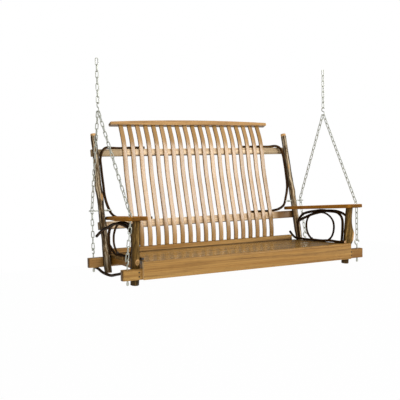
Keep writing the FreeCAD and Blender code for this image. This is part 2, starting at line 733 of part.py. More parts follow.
# Corner loops: bent sticks that fill the gap between the outer slats and the posts.
loop_size = size("loop_stick_size")
top_leg_y, top_leg_z = rail_rest("upper_rail", loop_size)
low_leg_y, low_leg_z = rail_rest("lower_rail", loop_size)
inside_post = aside("rear_post_aside") - size("rear_post_foot_size") / 2 - size("stick_gap")
loop_x = inside_post + 2.5 - loop_size / 2
front_of_rail = rail_front("upper_rail", size("upper_rail_height")) - loop_size / 2 - 4
leg_drop = top_leg_z - low_leg_z
loop_heights = [low_leg_z + share * leg_drop for share in (0.84, 0.668, 0.496, 0.345, 0.238)]
loop_points = [
    vec(size("loop_reach"), top_leg_y, top_leg_z),
    vec(loop_x - 190, top_leg_y + 0.5, top_leg_z + 0.6),
    vec(loop_x - 92, top_leg_y, top_leg_z + 0.3),
    vec(loop_x - 48, top_leg_y - 19, top_leg_z + 5),
    vec(loop_x - 18, front_of_rail - 3, top_leg_z - 13),
    vec(loop_x - 4, rail_front("upper_rail", top_leg_z - 55) - loop_size, top_leg_z - 52),
    vec(loop_x + 1, rear_post_y(loop_heights[0]) - 2, loop_heights[0]),
    vec(loop_x + 0.5, rear_post_y(loop_heights[1]) - 4, loop_heights[1]),
    vec(loop_x, rear_post_y(loop_heights[2]) - 3, loop_heights[2]),
    vec(loop_x - 3, rear_post_y(loop_heights[3]) + 7, loop_heights[3]),
    vec(loop_x - 13, rear_post_y(loop_heights[4]) + 15, loop_heights[4]),
    vec(loop_x - 40, low_leg_y + 1.5, low_leg_z + 36),
    vec(loop_x - 84, low_leg_y, low_leg_z + 8),
    vec(loop_x - 140, low_leg_y, low_leg_z + 0.4),
    vec(loop_x - 230, low_leg_y + 0.5, low_leg_z + 0.8),
    vec(size("loop_reach"), low_leg_y, low_leg_z + 0.2),
]
for side_name, side in SIDES:
    corner_loop = stick(mirrored(loop_points, side), loop_size)
    keep(side_name + "_corner_loop", feature(side_name + "_corner_loop", corner_loop))

# Side sticks: arch, hoop, ring, branch and brace between the posts.
gap = size("stick_gap")
arch_r = size("arch_stick_size") / 2
hoop_r = size("hoop_stick_size") / 2
ring_r = size("ring_stick_size") / 2
branch_r = size("branch_stick_size") / 2
brace_r = size("brace_stick_size") / 2
front_r = size("front_post_foot_size") / 2


def high(share):
    """Height that is given as a share of the arm's height."""
    return share * size("arm_height")


def arm_rest(y, radius, drop):
    """Height of a stick's middle at a distance below the arm."""
    return arm_top(y) - size("arm_thickness") / math.cos(math.radians(size("arm_slope"))) - radius - drop


def on_rear_post(z, radius, aside=0.0):
    """A stick's y where it is nailed to the front of the rear post, at a distance from its middle."""
    reach = math.sqrt((rear_post_radius(z) + radius + gap) ** 2 - aside ** 2)
    return rear_post_y(z) - reach / math.cos(math.radians(size("rear_post_lean")))


def on_front_post(z, radius, aside=0.0):
    reach = math.sqrt((front_r + radius + gap) ** 2 - aside ** 2)
    return front_post_y(z) + reach / math.cos(math.radians(size("front_post_lean")))


def on_seat(y, radius):
    return seat_top(y) + (radius + gap) / math.cos(math.radians(seat_slope))


arch_x = aside("arch_aside")
arch_back = rear_post_y(high(0.615))
arch_front = on_front_post(high(0.971), 0)
arch_points = [
    vec(arch_x, arch_back + 52, high(0.602)),
    vec(arch_x, arch_back - 24, high(0.709)),
    vec(arch_x, arch_back - 102, high(0.799)),
    vec(arch_x, arch_back - 200, high(0.874)),
    vec(arch_x, arch_back - 305, arm_rest(-320, arch_r, 6)),
    vec(arch_x, arch_front + 130, arm_rest(-420, arch_r, 10)),
    vec(arch_x, arch_front + 72, arm_rest(-480, arch_r, 23)),
    vec(arch_x, on_front_post(high(0.874), 0) + 26, high(0.881)),
    vec(arch_x, front_post_y(high(0.809)), high(0.79)),
]
hoop_inset = size("hoop_inset")
rear_x = aside("rear_post_aside") - hoop_inset
front_x = aside("front_post_aside") - hoop_inset
bend_y = on_rear_post(high(0.608), hoop_r, hoop_inset)
hoop_points = [
    vec(rear_x, on_rear_post(78, hoop_r, hoop_inset), 78),
    vec(rear_x, on_rear_post(high(0.453), hoop_r, hoop_inset), high(0.453)),
    vec(rear_x, bend_y - 6, high(0.608)),
    vec(rear_x, bend_y - 28, high(0.751)),
    vec(rear_x, bend_y - 72, high(0.848)),
    vec(between(0.25, rear_x, front_x), bend_y - 150, high(0.909)),
    vec(between(0.5, rear_x, front_x), -312, arm_rest(-312, hoop_r, 2)),
    vec(between(0.75, rear_x, front_x), -410, arm_rest(-410, hoop_r, 10)),
    vec(front_x, -478, arm_rest(-478, hoop_r, 21)),
    vec(front_x, on_front_post(high(0.88), hoop_r, hoop_inset) + 26, high(0.88)),
    vec(front_x, on_front_post(high(0.79), hoop_r, hoop_inset) + 6, high(0.79)),
    vec(front_x, on_front_post(high(0.647), hoop_r, hoop_inset), high(0.647)),
    vec(front_x, on_front_post(high(0.485), hoop_r, hoop_inset), high(0.485)),
    vec(front_x, on_front_post(98, hoop_r, hoop_inset) + 0.5, 98),
]
ring_x = aside("ring_aside")


def ring_foot(y):
    return on_seat(y, branch_r) + branch_r + gap


right_ring = [
    vec(ring_x, -223, ring_foot(-223)),
    vec(ring_x + 1, -191, ring_foot(-191) + 22),
    vec(ring_x + 2, -171, high(0.492)),
    vec(ring_x + 3, -167, high(0.641)),
    vec(ring_x + 2, -191, high(0.783)),
    vec(ring_x + 2, -245, high(0.88)),
    vec(ring_x + 3, -319, high(0.935)),
    vec(ring_x + 3, -397, high(0.903)),
    vec(ring_x + 3, -453, high(0.796)),
    vec(ring_x + 3, -473, high(0.654)),
    vec(ring_x + 2, -466, high(0.511)),
    vec(ring_x + 1, -447, ring_foot(-447) + 18),
    vec(ring_x, -419, ring_foot(-419)),
]
branch_x = aside("branch_aside")
branch_front = front_bearer_y - 10
branch_points = [
    vec(branch_x, rear_post_y(120) + 56, 126),
    vec(branch_x, rear_post_y(100) + 30, 102),
    vec(branch_x, -46, on_seat(-46, branch_r) + 1),
    vec(branch_x, -112, on_seat(-112, branch_r)),
    vec(branch_x, -215, on_seat(-215, branch_r) + 0.5),
    vec(branch_x, -322, on_seat(-322, branch_r)),
    vec(branch_x, -430, on_seat(-430, branch_r) + 0.5),
    vec(branch_x, -515, on_seat(-515, branch_r)),
    vec(branch_x + 1, branch_front, on_seat(branch_front, branch_r) + 1),
]
left_front = branch_front + size("left_branch_short")
left_branch = [
    vec(branch_x, 12, 143),
    vec(branch_x, -34, 118),
    vec(branch_x, -72, 97),
] + branch_points[3:-1] + [vec(branch_x, left_front, on_seat(left_front, branch_r) + 0.6)]
left_ring = [vec(p.x, p.y + size("left_ring_shift"), p.z) for p in right_ring]
foot_shift = seat_top(0) - seat_top(size("left_ring_shift"))
left_ring[0].z -= foot_shift
left_ring[-1].z -= foot_shift
brace_x = aside("brace_aside")
brace_points = [
    vec(brace_x, rear_bearer_y + 54, -brace_r - gap + 0.2),
    vec(brace_x, rear_bearer_y, -brace_r - gap),
    vec(brace_x, rear_bearer_y - 92, -22),
    vec(brace_x, rear_bearer_y - 188, -25),
    vec(brace_x, rear_bearer_y - 275, -17),
    vec(brace_x, rear_bearer_y - 360, 3),
    vec(brace_x, front_bearer_y + 128, 28),
    vec(brace_x, front_bearer_y + 72, 42),
    vec(brace_x, front_bearer_y + bearer_half, 46),
]
doc.recompute()
blanks = {}
side_sticks = (
    ("arch", arch_points, 2 * arch_r),
    ("hoop", hoop_points, 2 * hoop_r),
    ("seat_branch", branch_points, 2 * branch_r),
    ("ring", right_ring, 2 * ring_r),
    ("brace", brace_points, 2 * brace_r),
)
left_bends = {"left_ring": left_ring, "left_seat_branch": left_branch}
for stick_name, points, diameter in side_sticks:
    for side_name, side in SIDES:
        name = f"{side_name}_{stick_name}"
        bends = left_bends.get(name, points)
        blank = feature(name + "_stick", stick(mirrored(bends, side), diameter))
        blanks[name] = blank
        if stick_name == "arch":
            keep(name, cut(name, blank, [post_blanks[side_name][1]]))
        elif stick_name == "brace":
            keep(name, cut(name, blank, [bearer_blanks["front"]]))
        elif stick_name == "ring":
            keep(name, cut(name, blank, [blanks[side_name + "_seat_branch"]]))
        else:
            keep(name, feature(name, blank.Shape))

# Chains: welded links, each turned a quarter from its neighbours.
wire = size("chain_wire")
play = size("chain_gap")
overlap = wire + play
bow = (size("chain_width") - wire) / 2


def link_shape(length):
    """Link along Z in the XZ plane; length is from end wire to end wire, at the wire's middle."""
    straight = length / 2 - bow
    edges = [
        Part.LineSegment(vec(bow, 0, -straight), vec(bow, 0, straight)).toShape(),
        Part.Arc(vec(bow, 0, straight), vec(0, 0, length / 2), vec(-bow, 0, straight)).toShape(),
        Part.LineSegment(vec(-bow, 0, straight), vec(-bow, 0, -straight)).toShape(),
        Part.Arc(vec(-bow, 0, -straight), vec(0, 0, -length / 2), vec(bow, 0, -straight)).toShape(),
    ]
    ring = Part.Wire(Part.makeCircle(wire / 2, vec(bow, 0, -straight), vec(0, 0, 1)))
    return Part.Wire(edges).makePipeShell([ring], True, False)


def along(points, distance):
    """Spot at a distance along the straight runs through the points."""
    for a, b in zip(points, points[1:]):
        run = (b - a).Length
        if distance <= run or b is points[-1]:
            return a + (b - a).normalize() * distance
        distance -= run


def path_length(points):
    return sum((b - a).Length for a, b in zip(points, points[1:]))


def turned_link(shape, spot, heading, turn):
    """Link at a spot, with its length along heading, turned about it by degrees from facing the front."""
    z_axis = heading.normalize()
    x_axis = vec(1, 0, 0)
    x_axis = (x_axis - z_axis * x_axis.dot(z_axis)).normalize()
    facing = FreeCAD.Rotation(x_axis, z_axis.cross(x_axis), z_axis, "ZXY")
    placed = shape.copy()
    placed.Placement = FreeCAD.Placement(spot, facing.multiply(FreeCAD.Rotation(vec(0, 0, 1), turn)))
    return placed


junction = vec(aside("junction_aside"), size("junction_place"), size("junction_height"))
loop_r = size("s_hook_radius")
inside_s = loop_r - size("s_hook_wire") / 2 - wire / 2 - play
SPLAY = 26
splay_y = inside_s * math.sin(math.radians(SPLAY))
splay_z = inside_s * math.cos(math.radians(SPLAY))
hook_top = size("hook_radius") - size("hook_wire") / 2 - wire / 2 - 2 * play
hook_x = aside("hook_aside")
arm_hole = vec(aside("arm_hole_aside"), size("arm_hole_place"), arm_top(size("arm_hole_place")))


def post_ring_spot(rise, lower):
    """Spot above a post hook's ring on the line from the ring's middle down to the bearer hook."""
    middle = vec(aside("post_hook_aside"), post_hook_y, size("post_hook_height"))
    return middle + (middle - lower) * (rise / (middle.z - lower.z))


KINK_RISE = 0.91 * size("hook_radius")
post_ring = post_ring_spot(KINK_RISE, vec(hook_x, rear_bearer_y, ring_height + size("hook_radius")))


def ring_end(before, middle):
    """Spot inside a bearer hook's ring where the last link's end wire lies, past the ring's top."""
    top = vec(hook_x, middle, ring_height + size("hook_radius"))
    return top + (top - before).normalize() * (size("hook_radius") - hook_top)


front_path = [junction + vec(0, -splay_y, -loop_r - splay_z), arm_hole, ring_end(arm_hole, front_bearer_y)]
rear_path = [junction + vec(0, splay_y, -loop_r - splay_z), post_ring, ring_end(post_ring, rear_bearer_y)]


def even_count(path):
    """Even number of links, so that the last one stands across the hook's ring."""
    return 2 * max(1, round((path_length(path) - overlap) / size("chain_pitch") / 2))


def link_step(path):
    return (path_length(path) - overlap) / even_count(path)


link_pitch = max(link_step(front_path), link_step(rear_path))
link = link_shape(link_pitch + overlap)


def bridle(path, side):
    spots = mirrored(path, side)
    count = even_count(path)
    step = link_step(path)
    straight_links = count // 2
    twist = size("left_twist") / (count - 1 - straight_links) if side < 0 else 0
    links = []
    for number in range(count):
        middle = overlap / 2 + (number + 0.5) * step
        upper = along(spots, max(middle - step / 2, 0.0))
        lower = along(spots, middle + step / 2)
        turn = number * 90 + max(number - straight_links, 0) * twist
        links.append(turned_link(link, (upper + lower) * 0.5, upper - lower, turn))
    return links


for name, path in (("front_bridle_chains", front_path), ("rear_bridle_chains", rear_path)):
    keep(name, feature(name, merged(bridle(path, -1) + bridle(path, 1))))

# Top chains and the hanging links that the ceiling's hooks hold.
first_end = junction + vec(0, 0, loop_r + inside_s)
top_count = int(size("top_link_count"))
top_links = []
hanging_links = []
for side_name, side in SIDES:
    for number in range(top_count + 1):
        rise = (link_pitch + overlap) / 2 + number * link_pitch
        spot = vec(side * first_end.x, first_end.y, first_end.z + rise)
        placed = turned_link(link, spot, vec(0, 0, 1), number * 90)
        if number < top_count:
            top_links.append(placed)
        else:
            hanging_links.append(placed)
keep("top_chains", feature("top_chains", merged(top_links)))
keep("hanging_links", feature("hanging_links", merged(hanging_links)))

# S-hooks: one on each side joins the top chain to its two bridle chains.
S_SWEEP = 250


def s_hook(side):
    """Two loops in the YZ plane, joined in the middle."""
    edges = []
    for half in (1, -1):
        spots = []
        for share in (0.0, 0.5, 1.0):
            angle = math.radians(-90 + share * S_SWEEP)
            out = loop_r * math.cos(angle)
            up = loop_r + loop_r * math.sin(angle)
            spots.append(vec(0, half * out, half * up))
        if half == -1:
            spots.reverse()
            edges.insert(0, Part.Arc(*spots).toShape())
        else:
            edges.append(Part.Arc(*spots).toShape())
    path = Part.Wire(edges)
    first = path.Edges[0]
    begin = first.valueAt(first.FirstParameter)
    heading = first.tangentAt(first.FirstParameter)
    ring = Part.Wire(Part.makeCircle(size("s_hook_wire") / 2, begin, heading))
    shape = path.makePipeShell([ring], True, False)
    shape.Placement = FreeCAD.Placement(vec(side * junction.x, junction.y, junction.z), FreeCAD.Rotation())
    return shape


keep("s_hooks", feature("s_hooks", merged([s_hook(-1), s_hook(1)])))

# Everything is placed under the origin, which lies in the upper bends of the hanging links.
hanging_top = first_end.z + (top_count + 1) * link_pitch + overlap
origin = vec(0, junction.y, hanging_top - wire / 2)
doc.recompute()
for thing in parts.values():
    thing.Placement = FreeCAD.Placement(origin * -1, FreeCAD.Rotation()).multiply(thing.Placement)

# Every object has to be sound before anything is written.
doc.recompute()
for thing in doc.Objects:
    if "Invalid" in thing.State or "Error" in thing.State:
        raise RuntimeError(f"{thing.Name} is {thing.State}")
for name, thing in parts.items():
    if thing.Shape.isNull() or not thing.Shape.isValid():
        raise RuntimeError(f"{name} has no valid shape")
swing_axis = first_end.z + top_count * link_pitch
print("nodes", len(parts), "link pitch", round(link_pitch, 2))
print("front chain links", even_count(front_path), "step", round(link_step(front_path), 2))
print("rear chain links", even_count(rear_path), "step", round(link_step(rear_path), 2))
print("base to origin", [round(value, 3) for value in origin])
print("swing axis at z", round(swing_axis - origin.z, 3))
print("bridle axis at z", round(first_end.z - origin.z, 3))
for name, thing in parts.items():
    thing.Shape.exportStep(f"parts/{name}.step")
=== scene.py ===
"""Looks of the hanging porch bench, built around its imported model. Metres, in the model's own frame."""

import json
import math

import bpy
import numpy as np
from mathutils import Matrix, Vector, noise
from mathutils.bvhtree import BVHTree

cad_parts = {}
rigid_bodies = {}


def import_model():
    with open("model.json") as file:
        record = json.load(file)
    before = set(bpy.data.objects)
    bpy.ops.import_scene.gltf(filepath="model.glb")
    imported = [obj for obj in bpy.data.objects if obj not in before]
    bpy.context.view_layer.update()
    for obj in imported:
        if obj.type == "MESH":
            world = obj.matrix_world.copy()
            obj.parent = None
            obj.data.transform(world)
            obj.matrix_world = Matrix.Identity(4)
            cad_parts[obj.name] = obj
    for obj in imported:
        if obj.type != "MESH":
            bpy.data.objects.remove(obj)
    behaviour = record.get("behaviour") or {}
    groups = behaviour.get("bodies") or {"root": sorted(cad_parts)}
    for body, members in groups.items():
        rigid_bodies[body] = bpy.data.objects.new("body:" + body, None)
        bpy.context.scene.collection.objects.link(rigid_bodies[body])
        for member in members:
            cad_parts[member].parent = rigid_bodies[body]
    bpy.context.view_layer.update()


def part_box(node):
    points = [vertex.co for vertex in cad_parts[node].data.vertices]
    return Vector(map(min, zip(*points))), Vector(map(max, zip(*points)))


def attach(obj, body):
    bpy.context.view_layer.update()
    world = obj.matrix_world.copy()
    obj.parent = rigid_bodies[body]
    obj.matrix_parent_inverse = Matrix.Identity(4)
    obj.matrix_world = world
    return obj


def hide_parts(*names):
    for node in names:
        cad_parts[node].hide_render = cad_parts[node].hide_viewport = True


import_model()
scene = bpy.context.scene
scene.view_settings.view_transform = "Standard"

CAMERA_PLACE = (-2.1986, -3.9368, -0.5970)
CAMERA_YAW = 27.4346
CAMERA_PITCH = 3.338
CAMERA_ROLL = 1.0174
CAMERA_LENS = 63.09


def place_camera():
    """Camera at the photograph's viewing angle: turned right, a little downwards and a little tilted."""
    yaw, pitch, roll = (math.radians(angle) for angle in (CAMERA_YAW, CAMERA_PITCH, CAMERA_ROLL))
    forward = Vector((math.sin(yaw) * math.cos(pitch), math.cos(yaw) * math.cos(pitch), -math.sin(pitch)))
    level_right = Vector((math.cos(yaw), -math.sin(yaw), 0))
    level_down = forward.cross(level_right)
    right = math.cos(roll) * level_right + math.sin(roll) * level_down
    down = math.cos(roll) * level_down - math.sin(roll) * level_right
    data = bpy.data.cameras.new("camera")
    data.sensor_width = 36
    data.lens = CAMERA_LENS
    data.clip_end = 60
    camera = bpy.data.objects.new("camera", data)
    scene.collection.objects.link(camera)
    turn = Matrix((right, -down, -forward)).transposed().to_4x4()
    camera.matrix_world = Matrix.Translation(CAMERA_PLACE) @ turn
    scene.camera = camera


place_camera()


def shade(colour):
    """Scene-linear colour of a screen colour in 0 to 255."""
    return tuple((c / 255 / 12.92) if c / 255 <= 0.04045 else ((c / 255 + 0.055) / 1.055) ** 2.4
                 for c in colour[:3]) + (1.0,)


def deeper(colour, share):
    """A share of a screen colour."""
    return tuple(share * c for c in colour)


def is_output(value):
    """Whether an input value is another node's output, given as (node, socket name)."""
    return isinstance(value, tuple) and hasattr(value[0], "outputs")


class Shader:
    """Node tree of a material, or of a block of another family. Inputs are values or other nodes' outputs."""

    def __init__(self, name, family=bpy.data.materials):
        self.owner = family.new(name)
        self.owner.use_nodes = True
        self.tree = self.owner.node_tree
        self.tree.nodes.clear()

    def feed(self, socket, value):
        if is_output(value):
            self.tree.links.new(value[0].outputs[value[1]], socket)
        else:
            socket.default_value = value

    def add(self, kind, inputs=None, **settings):
        item = self.tree.nodes.new("ShaderNode" + kind)
        for key, value in settings.items():
            setattr(item, key, value)
        for key, value in (inputs or {}).items():
            self.feed(item.inputs[key], value)
        return item

    def field(self, name, socket="Fac"):
        """A named attribute of the mesh's points."""
        return (self.add("Attribute", attribute_name=name), socket)

    def trait(self, name, socket="Fac"):
        """A custom property of the object."""
        return (self.add("Attribute", attribute_type="OBJECT", attribute_name=name), socket)

    def math(self, operation, *values):
        return (self.add("Math", dict(enumerate(values)), operation=operation), 0)

    def vector(self, operation, *values):
        item = self.add("VectorMath", dict(enumerate(values)), operation=operation)
        return (item, "Value" if operation in ("LENGTH", "DISTANCE", "DOT_PRODUCT") else "Vector")

    def noise(self, where, scale, detail=2.0, roughness=0.5):
        """Noise whose three scales differ, so that it can be drawn out along one axis."""
        stretched = self.vector("MULTIPLY", where, scale)
        inputs = {"Vector": stretched, "Scale": 1.0, "Detail": detail, "Roughness": roughness}
        return (self.add("TexNoise", inputs), "Fac")

    def span(self, value, low, high, most=1.0):
        """Zero below low, and most above high."""
        inputs = {"Value": value, "From Min": low, "From Max": high, "To Max": most}
        return (self.add("MapRange", inputs), "Result")

    def ramp(self, factor, stops):
        """Ramp of screen colours or of plain numbers."""
        item = self.add("ValToRGB", {"Fac": factor})
        marks = item.color_ramp.elements
        while len(marks) < len(stops):
            marks.new(0.5)
        for mark, (place, colour) in zip(marks, stops):
            mark.position = place
            mark.color = shade(colour) if isinstance(colour, tuple) else (colour, colour, colour, 1)
        return (item, "Color")

    def mix(self, factor, first, second):
        item = self.add("Mix", data_type="RGBA")
        self.feed(item.inputs[0], factor)
        self.feed(item.inputs[6], first if is_output(first) else shade(first))
        self.feed(item.inputs[7], second if is_output(second) else shade(second))
        return (item, 2)

    def wash(self, colour, mask, amount, over):
        """Colour with another one over it where the mask is, up to the given amount."""
        return self.mix(self.math("MULTIPLY", mask, amount), colour, over)

    def bump(self, height, distance, strength=1.0):
        return (self.add("Bump", {"Height": height, "Distance": distance, "Strength": strength}), "Normal")

    def surface(self, **inputs):
        names = {key.replace("_", " "): value for key, value in inputs.items()}
        principled = self.add("BsdfPrincipled", names)
        self.add("OutputMaterial", {"Surface": (principled, "BSDF")})
        return self.owner


# Bark facing away from this direction, towards the front left, gets painted shade.
UNSHADED_FACE = (-0.4, -0.91, 0.1)
VARNISH_TINGE = (1.0, 0.84, 0.62, 1.0)
BARK_TINGE = (1.0, 0.72, 0.45, 1.0)
# Sawn ends: the dark tone is end grain's own, with painted shade in it; the pale one is painted light, for
# ends that the lamps reach little.
DARK_SAWN_END = (66, 42, 20)
PALE_SAWN_END = (250, 214, 160)
BARE_WOOD = ((168, 120, 68), (224, 182, 126))
# Colour and half height of a painted shadow line.
SHADOW_LINE_COLOUR = (52, 32, 14)
SHADOW_LINE_HALF_HEIGHT = 0.0036
# Heights between which bark darkens with painted shade, low down near the posts' feet.
SHADED_FOOT_FROM = -1.17
SHADED_FOOT_TO = -1.25


def early_wood(make, split, grain, order, rings):
    """How far a point is in early wood, from rings round the pith that waver and lean along the board."""
    wander = make.noise(grain, (0.9, 7, 7), 2)
    wander = make.math("MULTIPLY", make.math("SUBTRACT", wander, 0.5), 0.045)
    lean = make.math("MULTIPLY", (split, order[0]), 0.012)
    side = make.math("ADD", make.math("ADD", (split, order[1]), wander), lean)
    spot = (make.add("CombineXYZ", {"Y": side, "Z": (split, order[2])}), "Vector")
    count = make.math("MULTIPLY", make.vector("LENGTH", spot), rings)
    uneven = make.math("MULTIPLY", make.noise(grain, (1.6, 60, 60), 3), 2.6)
    ring = make.math("FRACT", make.math("ADD", count, uneven))
    return make.ramp(ring, [(0.0, 0.75), (0.16, 1.0), (0.45, 0.35), (0.86, 0.0), (1.0, 0.75)])


def shaded_faces(make, colour, order, dark, side_shade):
    """Colour with painted shade on undersides and, as much as side_shade, on narrow sides; sawn ends get end
    grain's darker tone with painted shade in it, or by end_tone a paler tone that is painted light.
    """
    facing = make.add("SeparateXYZ", {0: (make.add("TexCoord"), "Normal")})
    # Painted shade on faces turned downwards.
    below = make.ramp(make.math("MULTIPLY", (facing, "Z"), -1.0), [(0.3, 0.0), (0.75, 1.0)])
    colour = make.wash(colour, below, 0.6, deeper(dark, 0.4))
    # Sawn ends in end grain's darker tone, partly painted shade, or paler by end_tone as painted light.
    sawn = make.mix(make.trait("end_tone"), DARK_SAWN_END, PALE_SAWN_END)
    on_end = make.ramp(make.math("ABSOLUTE", (facing, order[0])), [(0.6, 0.0), (0.85, 1.0)])
    colour = make.wash(colour, on_end, 0.7, sawn)
    # Painted shade on narrow sides.
    on_side = make.ramp(make.math("ABSOLUTE", (facing, order[1])), [(0.5, 0.0), (0.9, 1.0)])
    return make.wash(colour, on_side, side_shade, deeper(dark, 0.7))


def painted_shade_by_place(make, colour, painted_shade_along):
    """Colour with a painted shadow line at the height that the object gives, and with painted shade that
    grows along the piece.
    """
    place = make.add("SeparateXYZ", {0: (make.add("TexCoord"), "Object")})
    away = make.math("ABSOLUTE", make.math("SUBTRACT", (place, "Z"), make.trait("seam")))
    # Painted shadow line at the height that the object gives.
    colour = make.wash(colour, make.math("LESS_THAN", away, SHADOW_LINE_HALF_HEIGHT), 0.85, SHADOW_LINE_COLOUR)
    # Painted shade that grows along the piece, if any.
    if painted_shade_along:
        axis, near, far, amount, shaded_colour = painted_shade_along
        along = (place, axis) if axis in "XYZ" else make.math("ABSOLUTE", (place, "X"))
        colour = make.wash(colour, make.span(along, near, far), amount, shaded_colour)
    return colour


def oak(name, order, tones, rings=260, gloss=(0.3, 0.32), coat=(0.15, 0.3, 1.5), relief=0.55, laid_out=False,
        painted_shade_along=None):
    """Varnished oak in a pale, a middle and a dark tone.

    order names the axis along the grain, the wide one and the thin one. gloss is the wood's specular level
    and least roughness; coat is the varnish's weight, roughness and index. A bent piece is laid_out: its
    field straight holds each point's place before bending, and its narrow sides get painted shade.
    Undersides of every piece get painted shade.
    The last argument is painted shade along the piece: an axis, or sideways for both ways along X, two
    places on it, and how far the wood has taken the given shaded colour at the second one.
    Objects have traits: pith is a point of the line that the rings go round, tint lightens or darkens,
    end_tone makes sawn ends paler as painted light, and the last trait is the height of a painted shadow
    line."""
    pale, middle, dark = tones
    make = Shader(name)
    place = make.field("straight", "Vector") if laid_out else (make.add("TexCoord"), "Object")
    split = make.add("SeparateXYZ", {0: make.vector("SUBTRACT", place, make.trait("pith", "Vector"))})
    turned = {axis: (split, letter) for axis, letter in zip("XYZ", order)}
    grain = (make.add("CombineXYZ", turned), "Vector")

    early = early_wood(make, split, grain, order, rings)
    fibre = make.noise(grain, (9, 520, 520), 3, 0.65)
    pores = make.ramp(make.noise(grain, (22, 900, 900), 1), [(0.56, 0.0), (0.66, 1.0)])
    pores = make.math("MULTIPLY", pores, make.math("ADD", make.math("MULTIPLY", early, 0.8), 0.2))
    broad = make.noise(grain, (0.7, 16, 16), 2)
    lines = make.ramp(make.noise(grain, (1.3, 75, 75), 3, 0.6), [(0.5, 0.0), (0.66, 1.0)])

    colour = make.ramp(broad, [(0.32, middle), (0.68, pale)])
    colour = make.wash(colour, lines, 0.5, dark)
    colour = make.wash(colour, early, 0.36, dark)
    colour = make.wash(colour, fibre, 0.3, dark)
    colour = make.wash(colour, pores, 0.55, deeper(dark, 0.55))
    # Painted shade on undersides and on bent pieces' narrow sides; sawn ends take their own tone.
    colour = shaded_faces(make, colour, order, dark, 0.5 if laid_out else 0.0)
    colour = painted_shade_by_place(make, colour, painted_shade_along)
    tint = make.trait("tint")
    brighter = make.math("ADD", 1.0, tint)
    duller = make.math("SUBTRACT", 1.0, make.math("MULTIPLY", tint, 0.4))
    tinted = make.add("HueSaturation", {"Value": brighter, "Saturation": duller, "Color": colour})

    height = make.math("ADD", make.math("MULTIPLY", fibre, 0.5), make.math("MULTIPLY", pores, -1.0))
    rough = make.math("ADD", make.math("MULTIPLY", fibre, 0.22), make.math("MULTIPLY", pores, 0.2))
    return make.surface(Base_Color=(tinted, "Color"), Roughness=make.math("ADD", rough, gloss[1]),
                        Normal=make.bump(height, 0.00022, relief), Specular_IOR_Level=gloss[0],
                        Specular_Tint=VARNISH_TINGE, Coat_Weight=coat[0], Coat_Roughness=coat[1],
                        Coat_IOR=coat[2])


def bark(name, tones, fine=1.0, patches=0.5, coat=0.12, back_shade=0.0, harsh=0.0, gloss=0.2):
    """Varnished bark in a deep, a middle and a light tone, with patches of a fourth.

    The field straight holds each point's place on the stick laid out straight, and scar is how bare the wood
    is. fine is how much narrower the pattern is; the argument after coat is painted shade, how much darker
    the bark is round the back than on its face towards the front left; harsh is how much sharper its streaks
    are, and gloss its specular level. Low down, the bark gets painted shade too."""
    deep, middle, light, patch = tones
    make = Shader(name)
    place = make.field("straight", "Vector")
    bend = make.add("TexNoise", {"Vector": make.vector("MULTIPLY", place, (40, 40, 16)), "Scale": 1.0})
    bend = make.vector("SUBTRACT", (bend, "Color"), (0.5, 0.5, 0.5))
    wavy = make.vector("ADD", place, make.vector("MULTIPLY", bend, (0.006, 0.006, 0.03)))
    streak = make.noise(wavy, (230 * fine, 230 * fine, 15), 4, 0.65)
    furrow = make.noise(wavy, (420 * fine, 420 * fine, 40), 3, 0.6)
    blotch = make.noise(place, (24 * fine, 24 * fine, 7), 3, 0.55)
    lichen = make.noise(place, (90, 90, 50), 4, 0.7)
    cell = make.vector("MULTIPLY", wavy, (150 * fine, 150 * fine, 19))
    plate = make.add("TexVoronoi", {"Vector": cell, "Scale": 1.0}, feature="DISTANCE_TO_EDGE")
    cracks = make.ramp((plate, "Distance"), [(0.0, 1.0), (0.09, 0.0)])
    long_streak = make.noise(wavy, (85 * fine, 85 * fine, 3.2), 3, 0.6)
    mixed = make.math("ADD", make.math("MULTIPLY", streak, 0.45), make.math("MULTIPLY", long_streak, 0.55))

    colour = make.ramp(mixed, [(0.38 + 0.06 * harsh, deep), (0.5, middle), (0.62 - 0.05 * harsh, light)])
    cover = make.ramp(blotch, [(0.6 - 0.2 * patches, 0.0), (0.78 - 0.2 * patches, 1.0)])
    colour = make.wash(colour, cover, 0.5, patch)
    colour = make.wash(colour, make.ramp(lichen, [(0.6, 0.0), (0.7, 1.0)]), 0.35, light)
    colour = make.wash(colour, cracks, 0.4, deeper(deep, 0.4))
    # Painted shade on bark turned away from the front left.
    toward_unshaded = make.vector("DOT_PRODUCT", (make.add("TexCoord"), "Normal"), UNSHADED_FACE)
    shaded_back = make.ramp(toward_unshaded, [(0.42, 1.0), (0.9, 0.0)])
    colour = make.wash(colour, shaded_back, back_shade, deep)
    # Painted shade low down on the bark.
    footing = make.add("SeparateXYZ", {0: (make.add("TexCoord"), "Object")})
    colour = make.mix(make.span((footing, "Z"), SHADED_FOOT_FROM, SHADED_FOOT_TO, 0.6), colour, deep)
    wood = make.ramp(furrow, [(0.3, BARE_WOOD[0]), (0.7, BARE_WOOD[1])])
    colour = make.mix(make.field("scar"), colour, wood)

    height = make.math("ADD", make.math("MULTIPLY", streak, 0.6), make.math("MULTIPLY", cracks, -0.35))
    height = make.math("ADD", height, make.math("MULTIPLY", furrow, 0.3))
    rough = make.math("ADD", make.math("MULTIPLY", streak, 0.35), 0.36)
    return make.surface(Base_Color=colour, Roughness=rough, Normal=make.bump(height, 0.0012, 0.7),
                        Specular_IOR_Level=gloss, Specular_Tint=BARK_TINGE, Coat_Weight=coat,
                        Coat_Roughness=0.3)


